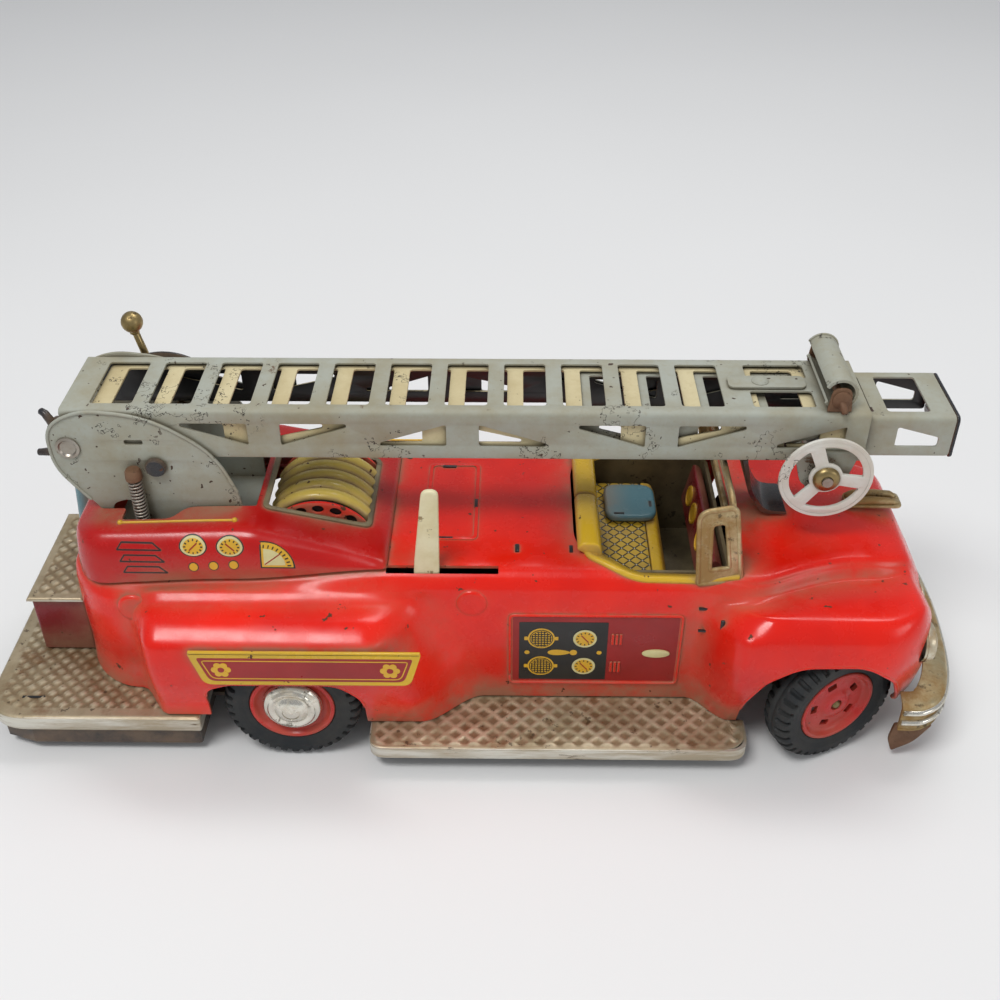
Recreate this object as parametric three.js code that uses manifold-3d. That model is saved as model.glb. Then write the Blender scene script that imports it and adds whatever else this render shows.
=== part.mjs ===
// Tin toy fire engine with an extending ladder, built the way the toy is built: pressed shells, boards,
// a wheeled chassis, a steered front end, and three nested ladders on a bracket.
//
// Millimetres, +X to the front, +Y to the vehicle's left, +Z up. Inside this file x is measured from the
// rear axle, y from the centre plane and z from the ground; the whole engine is then moved so that the
// origin is under the middle of its length.
import * as THREE from 'three';
import { mergeVertices } from 'three/addons/utils/BufferGeometryUtils.js';
import Module from 'manifold-3d';

const wasm = await Module();
wasm.setup();

// ---------------------------------------------------------------------------------------------------
// Driving dimensions
// ---------------------------------------------------------------------------------------------------
const GAP = 0.3; // between pieces that rest on each other
const SHEET = 1.0; // pressed tin, thickened for strength as a model

const REAR_END = -110;
const FRONT_END = 234;
const WHEELBASE = 182;

const TYRE_R = 23.75;
const TYRE_WIDTH = 13;
const TYRE_FACE_Y = 59.5; // outer face of a rear tyre
const RIM_R = 14.7;
const HUBCAP_R = 10.4;

const KINGPIN_Y = 42.5;
const WHEEL_OFFSET = 16; // kingpin to the outer face of a front tyre
const STEER_ANGLE = THREE.MathUtils.degToRad(25); // the front wheels stand turned to the left
const STEER_ARM = 11;

const DECK_Z = 69;
const BODY_REAR_X = -78;
const BODY_NOSE_X = 221;
const BOARD_Z = 12; // top of the running boards
const PLATFORM_Z = 18; // top of the rear platform
const PLATFORM_HALF_WIDTH = 58.5;
const SKIRT_TOP_Z = 11.1; // chassis skirt under the platform
const STEP_BOX_HALF_WIDTH = 24.3;
const STEP_BOX_TOP_Z = 42;
const HOUSING_FRONT_X = 33.5;

const LADDER_REAR_X = -73;
const LADDER_FRONT_X = 192;
const LADDER_HALF_WIDTH = 18.1;
const LADDER_TOP_Z = 118.7;
const LADDER_BOTTOM_Z = 100.6;
const RUNG_PITCH = 19.5;
const RUNG_HOLE = 14.1;

const MID_HALF_WIDTH = 16.6;
const MID_TOP_Z = 117.1;
const FLY_HALF_WIDTH = 15.2;
const FLY_TOP_Z = 115.7;
const FLY_REAR_X = 96;
const FLY_FRONT_X = 221;

const LADDER_PIVOT = [-72, 105]; // x, z of the pin the ladder rises about
const LIFT_AXLE = [-43.7, 97.9]; // x, z of the lever's axle
const WINCH = [179.4, 96.9]; // x, z of the hand wheel's axle
const LEVER_PIVOT = [46.5, 26]; // x, z of the deck lever's pin
const MOTOR_RATIO_TEETH = { gear: 24, pinion: 8 };

// ---------------------------------------------------------------------------------------------------
// Materials
// ---------------------------------------------------------------------------------------------------
const paint = (color, roughness = 0.4, metalness = 0.1) =>
  new THREE.MeshStandardMaterial({ color, roughness, metalness });
const RED = () => paint(0xc8140f);
const DARK_RED = () => paint(0x8e0f1c);
const GREY = () => paint(0x9a9c8c, 0.55, 0.3);
const CREAM = () => paint(0xd6c996, 0.55);
const TAN = () => paint(0x8f7a58, 0.6, 0.3);
const BLACK = () => paint(0x15181c, 0.5, 0.2);
const YELLOW = () => paint(0xe0b81c);
const TEAL = () => paint(0x4e8188, 0.5);
const CHROME = () => paint(0xa79a76, 0.28, 0.9);
const STEEL = () => paint(0x77746c, 0.4, 0.8);
const BRASS = () => paint(0x8a7440, 0.35, 0.9);
const RUBBER = () => paint(0x1d1f22, 0.9, 0);

// ---------------------------------------------------------------------------------------------------
// Shape helpers
// ---------------------------------------------------------------------------------------------------
const lerp = THREE.MathUtils.lerp;
const ordered = (a, b) => [Math.min(a, b), Math.max(a, b)];
const smooth = (a, b, x) => THREE.MathUtils.smoothstep(x, a, b);

function toSolid(geometry) {
  const bare = geometry.clone();
  bare.deleteAttribute('normal');
  bare.deleteAttribute('uv');
  const merged = mergeVertices(bare, 1e-4);
  const mesh = new wasm.Mesh({
    numProp: 3,
    vertProperties: new Float32Array(merged.attributes.position.array),
    triVerts: new Uint32Array(merged.index.array),
  });
  return new wasm.Manifold(mesh);
}

function toGeometry(solid) {
  const mesh = solid.getMesh();
  const geometry = new THREE.BufferGeometry();
  geometry.setAttribute('position', new THREE.BufferAttribute(mesh.vertProperties, 3));
  geometry.setIndex(new THREE.BufferAttribute(mesh.triVerts, 1));
  geometry.computeVertexNormals();
  return geometry;
}

const join = (...solids) => solids.reduce((whole, next) => whole.add(next));
const cut = (solid, ...tools) => tools.reduce((whole, next) => whole.subtract(next), solid);

function block([x0, x1], [y0, y1], [z0, z1]) {
  const box = new THREE.BoxGeometry(x1 - x0, y1 - y0, z1 - z0);
  box.translate((x0 + x1) / 2, (y0 + y1) / 2, (z0 + z1) / 2);
  return toSolid(box);
}

// A round bar between two points, tapering if a second radius is given.
function bar(from, to, radius, endRadius = radius, sides = 12) {
  const a = new THREE.Vector3(...from);
  const b = new THREE.Vector3(...to);
  const along = b.clone().sub(a);
  const cylinder = new THREE.CylinderGeometry(endRadius, radius, along.length(), sides);
  const turn = new THREE.Quaternion().setFromUnitVectors(new THREE.Vector3(0, 1, 0), along.normalize());
  cylinder.applyQuaternion(turn);
  cylinder.translate((a.x + b.x) / 2, (a.y + b.y) / 2, (a.z + b.z) / 2);
  return toSolid(cylinder);
}

const crossBar = (x, z, y0, y1, radius, sides = 12) => bar([x, y0, z], [x, y1, z], radius, radius, sides);

function ball(x, y, z, radius) {
  const sphere = new THREE.SphereGeometry(radius, 12, 8);
  sphere.translate(x, y, z);
  return toSolid(sphere);
}

const outline = (points) => new THREE.Shape(points.map(([a, b]) => new THREE.Vector2(a, b)));

// A polygon whose corners are rounded off; a point may give its own radius as a third number.
function rounded(points, radius) {
  const shape = new THREE.Shape();
  points.forEach((point, i) => {
    const before = points[(i + points.length - 1) % points.length];
    const after = points[(i + 1) % points.length];
    const corner = new THREE.Vector2(point[0], point[1]);
    const reach = (other) => Math.hypot(other[0] - point[0], other[1] - point[1]);
    const r = Math.min(point[2] ?? radius, 0.48 * reach(before), 0.48 * reach(after));
    const toward = (other) =>
      new THREE.Vector2(other[0], other[1]).sub(corner).setLength(r).add(corner);
    const start = toward(before);
    const end = toward(after);
    if (i === 0) shape.moveTo(start.x, start.y);
    else shape.lineTo(start.x, start.y);
    shape.quadraticCurveTo(corner.x, corner.y, end.x, end.y);
  });
  shape.closePath();
  return shape;
}

const rectangle = (a0, a1, b0, b1, radius) =>
  rounded([[a0, b0], [a1, b0], [a1, b1], [a0, b1]], radius);

function extruded(shape, depth, basis, curveSegments) {
  const geometry = new THREE.ExtrudeGeometry(shape, { depth, bevelEnabled: false, curveSegments });
  geometry.applyMatrix4(basis);
  return toSolid(geometry);
}

const X = new THREE.Vector3(1, 0, 0);
const Y = new THREE.Vector3(0, 1, 0);
const Z = new THREE.Vector3(0, 0, 1);

// An outline in (x, y) raised from z0 to z1.
function fromTop(shape, z0, z1, curveSegments = 2) {
  return extruded(shape, z1 - z0, new THREE.Matrix4().setPosition(0, 0, z0), curveSegments);
}

// An outline in (x, z) spread from y0 to y1.
function fromSide(shape, y0, y1, curveSegments = 2) {
  const basis = new THREE.Matrix4().makeBasis(X, Z, Y.clone().negate()).setPosition(0, y1, 0);
  return extruded(shape, y1 - y0, basis, curveSegments);
}

// An outline in (y, z) spread from x0 to x1.
function fromRear(shape, x0, x1, curveSegments = 2) {
  const basis = new THREE.Matrix4().makeBasis(Y, Z, X).setPosition(x0, 0, 0);
  return extruded(shape, x1 - x0, basis, curveSegments);
}

// A turned piece: profile points are [radius, distance along the axis]; the axis runs along `outward`.
function turned(profile, sides, centre, outward) {
  const points = [...profile, profile[0]].map(([r, w]) => new THREE.Vector2(r, w));
  const lathe = new THREE.LatheGeometry(points, sides);
  lathe.applyQuaternion(new THREE.Quaternion().setFromUnitVectors(Y, outward));
  lathe.translate(...centre);
  return toSolid(lathe);
}

// A closed skin over rings of points that stand at rising x, each ring running right side, top, left side.
function loft(rings) {
  const count = rings[0].length;
  const positions = rings.flat().flatMap((p) => [p.x, p.y, p.z]);
  const indices = [];
  for (let i = 0; i < rings.length - 1; i++) {
    for (let j = 0; j < count; j++) {
      const k = (j + 1) % count;
      const [a, b, c, d] = [i * count + j, (i + 1) * count + j, (i + 1) * count + k, i * count + k];
      indices.push(a, b, c, a, c, d);
    }
  }
  for (const [ring, forward] of [[0, false], [rings.length - 1, true]]) {
    const hub = positions.length / 3;
    const heights = rings[ring].map((p) => p.z);
    positions.push(rings[ring][0].x, 0, (Math.min(...heights) + Math.max(...heights)) / 2);
    for (let j = 0; j < count; j++) {
      const [a, b] = [ring * count + j, ring * count + ((j + 1) % count)];
      indices.push(...(forward ? [hub, b, a] : [hub, a, b]));
    }
  }
  const geometry = new THREE.BufferGeometry();
  geometry.setAttribute('position', new THREE.Float32BufferAttribute(positions, 3));
  geometry.setIndex(indices);
  return toSolid(geometry);
}

// Half a section (right foot to top centre, as [half width, height]) made into a smooth, mirrored ring.
function ringFrom(points, x, steps) {
  const controls = points.map(([y, z]) => new THREE.Vector3(x, -y, z));
  const curve = new THREE.CatmullRomCurve3(controls, false, 'catmullrom', 0.35);
  const half = [];
  for (let i = 0; i <= steps; i++) half.push(curve.getPoint(i / steps));
  half[steps].y = 0;
  const other = half.slice(0, steps).reverse().map((p) => new THREE.Vector3(p.x, -p.y, p.z));
  return [...half, ...other];
}

// The same ring moved inwards along the skin's own normals, its feet dropped so that it opens the bottom.
function insetRing(section, x, steps, thickness, [lowX, highX]) {
  const slice = 0.2;
  const ring = ringFrom(section(x), x, steps);
  const behind = ringFrom(section(x - slice), x - slice, steps);
  const ahead = ringFrom(section(x + slice), x + slice, steps);
  const inset = ring.map((point, j) => {
    const along = ring[Math.min(j + 1, ring.length - 1)].clone().sub(ring[Math.max(j - 1, 0)]);
    const inward = along.cross(ahead[j].clone().sub(behind[j])).normalize();
    const moved = point.clone().addScaledVector(inward, thickness);
    moved.x = THREE.MathUtils.clamp(moved.x, lowX, highX);
    return moved;
  });
  inset[0].z -= 8;
  inset[inset.length - 1].z -= 8;
  return inset;
}

// A pressed shell: a lofted skin, hollowed by the same skin one sheet further in.
function shell(stations, section, steps, thickness) {
  const ends = [stations[0] + thickness, stations[stations.length - 1] - thickness];
  const outer = loft(stations.map((x) => ringFrom(section(x), x, steps)));
  const inner = loft(stations.map((x) => insetRing(section, x, steps, thickness, ends)));
  return cut(outer, inner);
}

// ---------------------------------------------------------------------------------------------------
// The engine and its named pieces
// ---------------------------------------------------------------------------------------------------
const engine = new THREE.Group();
engine.position.x = -(REAR_END + FRONT_END) / 2;

function add(name, solid, material, parent = engine) {
  const mesh = new THREE.Mesh(toGeometry(solid), material);
  mesh.name = name;
  parent.add(mesh);
  return mesh;
}

const SIDES = [['right', -1], ['left', 1]];

// ---- Body shell ------------------------------------------------------------------------------------
const LAMP = { x: 214.6, y: 46.5, z: 46 };

// Section points run from the foot of the side up over the fender and the shoulder to the top centre.
const PLAIN_SECTION = [
  [41, 12.4], [41.5, 24], [42, 36], [42.2, 46], [42.2, 52], [42, 56],
  [41.8, 59.5], [41.2, 63], [38.8, 66.8], [33, 68.8], [0, 69],
];
const REAR_FENDER = [
  [54, 12.4], [58, 25], [61.3, 37], [62.2, 46], [60.8, 54], [54, 58.6], [46, 59.8], [42.2, 62],
];
const FRONT_FENDER = [
  [52, 12.4], [57, 25], [61, 37], [62.3, 48], [61, 57.5], [55.5, 63.5],
];

// Height of the seam between the body and the rear housing, and of the deck ahead of it.
function bodyTop(x) {
  const seam = x < -19 ? lerp(61.5, 64.3, smooth(-78, -19, x)) : lerp(64.3, DECK_Z, smooth(-19, 36, x));
  return seam + smooth(150, 175, x) - 3 * smooth(196, 216, x);
}

function rearFenderWeight(x, z) {
  const end = 66 - 0.42 * (z - 12);
  return smooth(-56, -44, x) * (1 - smooth(end - 22, end, x));
}

function frontFenderWeight(x, z) {
  const high = smooth(50, 60, z);
  return smooth(138, lerp(152, 168, high), x);
}

// How the section narrows round the rear corners and the nose.
function planScale(x) {
  const rear = Math.sqrt(Math.max(0, 1 - ((-56 - x) / 24.4) ** 2));
  const nose = Math.sqrt(Math.max(0, 1 - ((x - 196) / 27.5) ** 2));
  return x < -56 ? lerp(0.3, 1, rear) : x > 196 ? lerp(0.35, 1, nose) : 1;
}

// Behind the rear wheel the sides spread a little towards the platform.
const REAR_FLARE = 3;

function bodySection(x) {
  const top = bodyTop(x);
  const foot = x < 0 ? PLATFORM_Z + 0.4 : lerp(12.4, 20, smooth(192, 206, x));
  const flare = x < 0 ? REAR_FLARE : 0;
  const stretch = (top - foot) / (DECK_Z - 12.4);
  const noseDrop = smooth(208, 221, x) ** 2;
  const valley = lerp(50, 35, smooth(140, 195, x));
  const front = [
    ...FRONT_FENDER, [valley + 2.5, 62.6], [valley - 1, 62.8], [valley - 3.4, 66.3], [valley - 8, 69],
    [0, 70],
  ];
  return PLAIN_SECTION.map(([y, z], i) => {
    let point = [y, foot + (z - 12.4) * stretch];
    const rearWeight = rearFenderWeight(x, z);
    if (REAR_FENDER[i]) point = point.map((v, n) => lerp(v, REAR_FENDER[i][n], rearWeight));
    const frontWeight = frontFenderWeight(x, z);
    const lift = top - 70;
    const target = i > 7 ? [front[i][0], front[i][1] + lift] : front[i];
    point = point.map((v, n) => lerp(v, target[n], frontWeight));
    if (i === 0) point = [point[0] + flare, foot];
    const squeezed = foot + (point[1] - foot) * (1 - 0.3 * noseDrop);
    return [point[0] * planScale(x), squeezed];
  });
}

const BODY_STATIONS = [
  BODY_REAR_X, -76.5, -72, -64, -56, -50, -44, -28, 20, 36, 48, 58, 68, 100, 138, 144, 150, 158, 170, 186,
  199, 208, 214, 218, BODY_NOSE_X,
];

function wheelArch(points) {
  return fromSide(rounded(points, 5), -75, 75);
}

const REAR_ARCH = [[-29, 0, 1], [-29, 34], [-20, 37.5, 2], [17, 37.5], [25, 28], [25, 0, 1]];
const FRONT_ARCH = [
  [155, 0, 1], [155, 26, 4], [160, 40, 4], [171, 48, 5], [194, 48.5, 6], [204, 40, 4], [209.2, 26, 4],
  [209.2, 0, 1],
];
const CAB_OPENING = [
  [97, -20, 4], [101, -31, 6], [112, -37, 8], [153.5, -37.5, 2], [153.5, 37.5, 2], [112, 37, 8],
  [101, 31, 6], [97, 20, 4],
];

function bodyShell() {
  const whole = shell(BODY_STATIONS, bodySection, 13, SHEET + 0.2);
  const leverSlot = block([33, 71], [-38.6, -35.0], [55, 80]);
  const housingWell = block([-20, 28], [-30, 30], [50, 80]);
  const cab = fromTop(rounded(CAB_OPENING, 4), 50, 90);
  const lampHoles = SIDES.map(([, side]) => {
    const y = side * LAMP.y;
    return bar([210, y, LAMP.z], [225, y, LAMP.z], 8.9);
  });
  return cut(
    whole, wheelArch(REAR_ARCH), wheelArch(FRONT_ARCH), leverSlot, housingWell, cab, ...lampHoles,
  );
}

// ---- Chassis ---------------------------------------------------------------------------------------
const CHASSIS_OUTLINE = [
  [-107.6, -57.4, 14], [-34, -57.4, 1], [-34, -38, 1], [150, -38, 2], [158, -30, 3], [206, -30, 3],
  [206, 30, 3], [158, 30, 3], [150, 38, 2], [-34, 38, 1], [-34, 57.4, 1], [-107.6, 57.4, 14],
];
const CHASSIS_TRAY = [
  [-106.2, -56, 13], [-35.4, -56, 0.5], [-35.4, 56, 0.5], [-106.2, 56, 13],
];

function bearingEar(x, side, holeRadius) {
  const ear = fromSide(rounded([[x - 7, 9], [x + 7, 9], [x + 7, 30, 6], [x - 7, 30, 6]], 0.5), -0.8, 0.8);
  const hole = crossBar(x, TYRE_R, -3, 3, holeRadius);
  return cut(ear, hole).translate([0, side * 36, 0]);
}

function leverBracket() {
  const [x, z] = LEVER_PIVOT;
  const upright = block([x - 4, x + 4], [-34.6, -33.4], [9, z + 5]);
  const pin = crossBar(...LEVER_PIVOT, -39, -34, 1.5, 12);
  const head = crossBar(...LEVER_PIVOT, -40, -38.8, 2.6, 12);
  return join(upright, pin, head);
}

function chassisPlate() {
  const plate = fromTop(rounded(CHASSIS_OUTLINE, 1), 8.4, 10);
  const tail = rounded([...CHASSIS_OUTLINE.slice(0, 2), ...CHASSIS_OUTLINE.slice(10)], 1);
  const tray = rounded(CHASSIS_TRAY, 1);
  const skirt = cut(fromTop(tail, 4.2, SKIRT_TOP_Z), fromTop(tray, 4, 8.4), fromTop(tray, 10, 12));
  const beamPost = block([176, 188], [-12, 12], [9, 19]);
  const motorClearance = block([-16, 34], [-13, 13], [0, 12]);
  const ears = SIDES.map(([, side]) => bearingEar(0, side, 2.35));
  return cut(join(plate, skirt, beamPost, leverBracket(), ...ears), motorClearance);
}

function frontBeam() {
  const depth = [WHEELBASE - 3.6, WHEELBASE + 3.6];
  const ends = SIDES.flatMap(([, side]) => {
    const y = side * KINGPIN_Y;
    const ear = (z) => [
      bar([WHEELBASE, y, z], [WHEELBASE, y, z + 2], 3.6, 3.6, 16),
      block(depth, ordered(side * 34, y), [z, z + 2]),
    ];
    return [block(depth, ordered(side * 34, side * 37), [15.5, 32]), ...ear(15.5), ...ear(30)];
  });
  const rail = block(depth, [-35, 35], [19 + GAP, 24]);
  const holes = SIDES.map(([, side]) => {
    const y = side * KINGPIN_Y;
    return bar([WHEELBASE, y, 10], [WHEELBASE, y, 40], 2.05);
  });
  return cut(join(rail, ...ends), ...holes);
}

// ---- Wheels: axis points outwards, w is the distance along it from the wheel's own zero -------------
function tyre(centre, outward, face) {
  const inner = face - TYRE_WIDTH;
  const profile = [
    [RIM_R + 0.2, inner + 0.8], [20.5, inner], [22.9, inner + 1.4], [TYRE_R, inner + 3.6],
    [TYRE_R, face - 3.6], [22.9, face - 1.4], [20.5, face], [RIM_R + 0.2, face - 0.8],
  ];
  return turned(profile, 24, centre, outward);
}

function rim(centre, outward, face, boreRadius, windows) {
  const profile = [
    [boreRadius, face - 6.5], [4, face - 6.5], [4, face - 4.4], [RIM_R - 2, face - 4.4],
    [RIM_R - 1.2, face - 10.5], [RIM_R, face - 10.5], [RIM_R, face - 1], [RIM_R - 2.4, face - 3.2],
    [boreRadius, face - 3],
  ];
  const disc = turned(profile, 18, centre, outward);
  const tools = [];
  for (let i = 0; i < windows; i++) {
    const angle = (i / windows) * Math.PI * 2 + 0.6;
    const window = new THREE.BoxGeometry(2.6, 20, 3.6);
    window.translate(8.6, 0, 0);
    window.rotateY(angle);
    window.applyQuaternion(new THREE.Quaternion().setFromUnitVectors(Y, outward));
    window.translate(...new THREE.Vector3(...centre).addScaledVector(outward, face - 4).toArray());
    tools.push(toSolid(window));
  }
  return cut(disc, ...tools);
}

function hubcap(centre, outward, face) {
  const profile = [
    [0.01, face - 2.2], [HUBCAP_R, face - 2.2], [HUBCAP_R - 1, face - 0.4], [7.6, face + 0.9],
    [6.2, face + 0.5], [4, face + 1.9], [0.01, face + 2.2],
  ];
  return turned(profile, 18, centre, outward);
}

function gearOutline(teeth, pitchRadius, phase) {
  const points = [];
  const pitch = (Math.PI * 2) / teeth;
  const corners = [[-0.3, -1.15], [-0.15, 0.75], [0.15, 0.75], [0.3, -1.15]];
  for (let i = 0; i < teeth; i++) {
    for (const [share, height] of corners) {
      const angle = phase + (i + share) * pitch;
      const r = pitchRadius + height;
      points.push([r * Math.cos(angle), r * Math.sin(angle)]);
    }
  }
  return points;
}

const GEAR_R = MOTOR_RATIO_TEETH.gear / 2;
const PINION_R = MOTOR_RATIO_TEETH.pinion / 2;
const FLYWHEEL_X = GEAR_R + PINION_R;
const GEAR_Y = [6, 9];

function gear(teeth, pitchRadius, phase, x, z, [y0, y1]) {
  const points = gearOutline(teeth, pitchRadius, phase).map(([a, b]) => [a + x, b + z]);
  return fromSide(outline(points), y0, y1);
}

function rearAxle() {
  const shaft = crossBar(0, TYRE_R, -TYRE_FACE_Y + 2.6, TYRE_FACE_Y - 2.6, 2.1);
  return join(shaft, gear(MOTOR_RATIO_TEETH.gear, GEAR_R, 0, 0, TYRE_R, GEAR_Y));
}

function flywheel() {
  const pinionTeeth = MOTOR_RATIO_TEETH.pinion;
  const pinion = gear(pinionTeeth, PINION_R, Math.PI + Math.PI / pinionTeeth, FLYWHEEL_X, TYRE_R, GEAR_Y);
  const shaft = crossBar(FLYWHEEL_X, TYRE_R, -19, 19, 1.2, 12);
  const disc = crossBar(FLYWHEEL_X, TYRE_R, -10, -3, 11.5, 24);
  return join(pinion, shaft, disc);
}

function motorFrame() {
  const profile = rounded([[-12, 10 + GAP], [31, 10 + GAP], [31, 40, 4], [-12, 40, 4]], 0.5);
  const plates = SIDES.map(([, side]) => fromSide(profile, side * 15 - 0.6, side * 15 + 0.6));
  const tie = block([-11, -4], [-15, 15], [37.4, 38.6]);
  const rear = crossBar(0, TYRE_R, -30, 30, 2.4);
  const front = crossBar(FLYWHEEL_X, TYRE_R, -30, 30, 1.45, 12);
  return cut(join(...plates, tie), rear, front);
}

function rearWheels() {
  add('rear_axle', rearAxle(), STEEL());
  for (const [name, side] of SIDES) {
    const outward = new THREE.Vector3(0, side, 0);
    const centre = [0, 0, TYRE_R];
    add(`rear_tyre_${name}`, tyre(centre, outward, TYRE_FACE_Y), RUBBER());
    add(`rear_rim_${name}`, rim(centre, outward, TYRE_FACE_Y, 2.2, 5), RED());
    add(`rear_hubcap_${name}`, hubcap(centre, outward, TYRE_FACE_Y), CHROME());
  }
  add('motor_flywheel', flywheel(), STEEL());
  add('motor_frame', motorFrame(), STEEL());
}

// A front wheel is drawn pointing straight ahead round its kingpin, and its group carries the steering.
function stubAxle(side) {
  const kingpin = bar([0, 0, 14.8], [0, 0, 32.8], 1.8);
  const knuckle = bar([0, 0, 18], [0, 0, 29.4], 3.2);
  const spindle = bar([0, 0, TYRE_R], [0, side * (WHEEL_OFFSET - 2.5), TYRE_R], 1.5, 1.5, 14);
  const arm = block([-STEER_ARM - 1.6, 0], [-1.4, 1.4], [18, 20]);
  const armPin = bar([-STEER_ARM, 0, 19], [-STEER_ARM, 0, 23.6], 1, 1, 10);
  return join(kingpin, knuckle, spindle, arm, armPin);
}

function frontWheels() {
  for (const [name, side] of SIDES) {
    const corner = new THREE.Group();
    corner.position.set(WHEELBASE, side * KINGPIN_Y, 0);
    corner.rotation.z = STEER_ANGLE;
    engine.add(corner);
    const outward = new THREE.Vector3(0, side, 0);
    const centre = [0, 0, TYRE_R];
    add(`stub_axle_${name}`, stubAxle(side), STEEL(), corner);
    add(`front_tyre_${name}`, tyre(centre, outward, WHEEL_OFFSET), RUBBER(), corner);
    add(`front_rim_${name}`, rim(centre, outward, WHEEL_OFFSET, 1.7, 5), RED(), corner);
    if (side > 0) add('front_hubcap_left', hubcap(centre, outward, WHEEL_OFFSET), CHROME(), corner);
  }
}

// The rod between the steering arms; its long holes take up the arms' small swing fore and aft.
function tieRod() {
  const reach = { x: STEER_ARM * Math.cos(STEER_ANGLE), y: STEER_ARM * Math.sin(STEER_ANGLE) };
  const [near, far] = [WHEELBASE - STEER_ARM - 1.3, WHEELBASE - reach.x + 1.3];
  const ends = SIDES.map(([, side]) => side * KINGPIN_Y - reach.y);
  const rod = block([near - 1.2, near + 3.2], [ends[0], ends[1]], [20.6, 22]);
  const eyes = ends.map((y) => fromTop(rectangle(near - 1.2, far + 1.2, y - 2.5, y + 2.5, 1), 20.6, 22));
  const holes = ends.map((y) => fromTop(rectangle(near, far, y - 1.3, y + 1.3, 1), 20, 23));
  return cut(join(rod, ...eyes), ...holes);
}

// ---- Boards, platform and step -----------------------------------------------------------------------
const BOARD_PLAN = [[26, 39, 1], [26, 66, 6], [158, 66, 12], [158, 56, 2], [152.5, 51, 2], [152.5, 39, 1]];
const BOARD_HOLLOW = [[27.2, 38, 1], [27.2, 64.8, 5], [152, 64.8, 8], [152, 38, 1]];

function runningBoard(side) {
  const onSide = (plan) => {
    const points = plan.map(([x, y, r]) => [x, side * y, r]);
    return rounded(side < 0 ? points : points.reverse(), 2);
  };
  const outer = fromTop(onSide(BOARD_PLAN), 6.8, BOARD_Z);
  return cut(outer, fromTop(onSide(BOARD_HOLLOW), 6, BOARD_Z - 1.2));
}

const PLATFORM_OUTLINE = [
  [REAR_END, -PLATFORM_HALF_WIDTH, 16], [-33, -PLATFORM_HALF_WIDTH, 1], [-33, PLATFORM_HALF_WIDTH, 1],
  [REAR_END, PLATFORM_HALF_WIDTH, 16],
];

function rearPlatform() {
  const plate = fromTop(rounded(PLATFORM_OUTLINE, 2), SKIRT_TOP_Z + GAP, PLATFORM_Z);
  const inner = PLATFORM_HALF_WIDTH - 1.4;
  const hollow = fromTop(rectangle(REAR_END + 1.4, -32, -inner, inner, 3), 9, PLATFORM_Z - 1.4);
  const slot = block([-98, -90], [-49.5, -48.3], [5, 20]);
  return cut(plate, hollow, slot);
}

const STEP_BOX_REAR_X = -97.5;
const STEP_BOX_FRONT_X = BODY_REAR_X - GAP;

function stepBox() {
  const [rear, front, half] = [STEP_BOX_REAR_X, STEP_BOX_FRONT_X, STEP_BOX_HALF_WIDTH];
  const outer = block([rear, front], [-half, half], [PLATFORM_Z + GAP, STEP_BOX_TOP_Z]);
  const wall = 1.2;
  const inner = [wall - half, half - wall];
  return cut(outer, block([rear + wall, front - wall], inner, [PLATFORM_Z - 1, STEP_BOX_TOP_Z - 1]));
}

function stepBoxLid() {
  const [rear, front, half] = [STEP_BOX_REAR_X, STEP_BOX_FRONT_X, STEP_BOX_HALF_WIDTH];
  const base = STEP_BOX_TOP_Z + GAP;
  return join(
    fromTop(rectangle(rear - 1.1, front, -half - 1.2, half + 1.2, 1), base, base + 1.1),
    fromTop(rectangle(rear + 2, front - 3, 2 - half, half - 2, 1), base + 1, base + 1.7),
  );
}

// ---- Cab -------------------------------------------------------------------------------------------
function cabLiner() {
  const tub = cut(
    fromTop(rectangle(98.6, 150, -35.4, 35.4, 5), 30, 66.2),
    fromTop(rectangle(99.8, 148.8, -34.2, 34.2, 4), 31.4, 70),
  );
  return tub;
}

function seatBack() {
  const halves = SIDES.map(([, side]) => {
    const [y0, y1] = ordered(side * 0.4, side * 30);
    return fromTop(rectangle(101.6, 106.6, y0, y1, 2.2), 44, 73.4, 3);
  });
  const bridge = block([102, 105], [-6, 6], [44, 66]);
  return join(...halves, bridge);
}

// The front frame leans back, and its two wings lean in.
const LEAN_BACK = -0.17;
const LEAN_IN = 0.1;
const WING_OUTLINE = [[138, 66.6, 1], [152.2, 66.8, 1], [148.2, 95.6, 3], [136, 94, 4]];
const WING_HOLE = [[141, 71.5, 1], [148.2, 72.6, 1], [145.4, 90.6, 2], [139.6, 89.8, 2]];

function windshieldFrame() {
  const frontPlane = [[-36.9, 66.8, 2], [36.9, 66.8, 2], [34, 96.2, 5], [-34, 96.2, 5]];
  const frontHole = [[-33, 72, 2], [33, 72, 2], [30.6, 92.6, 4], [-30.6, 92.6, 4]];
  const front = cut(fromRear(rounded(frontPlane, 3), -0.9, 0.9), fromRear(rounded(frontHole, 3), -2, 2));
  const leaned = front.transform([1, 0, 0, 0, 0, 1, 0, 0, LEAN_BACK, 0, 1, 0, 163.6, 0, 0, 1]);
  const wings = SIDES.map(([, side]) => {
    const sheet = cut(
      fromSide(rounded(WING_OUTLINE, 2), -0.5, 0.5), fromSide(rounded(WING_HOLE, 1), -2, 2),
    );
    return sheet.transform([1, 0, 0, 0, 0, 1, 0, 0, 0, -side * LEAN_IN, 1, 0, 0, side * 43.2, 0, 1]);
  });
  return join(leaned, ...wings);
}

function dashboard() {
  return fromSide(rounded([[141, 50, 1], [148.2, 48, 1], [148.2, 64, 2], [144.6, 66.8, 2]], 1), -29, 29);
}

// ---- Nose ------------------------------------------------------------------------------------------
const BUMPER_CURVE = [[209, -60.5], [217, -60], [224.5, -54], [230, -40], [233, -20]];

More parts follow.
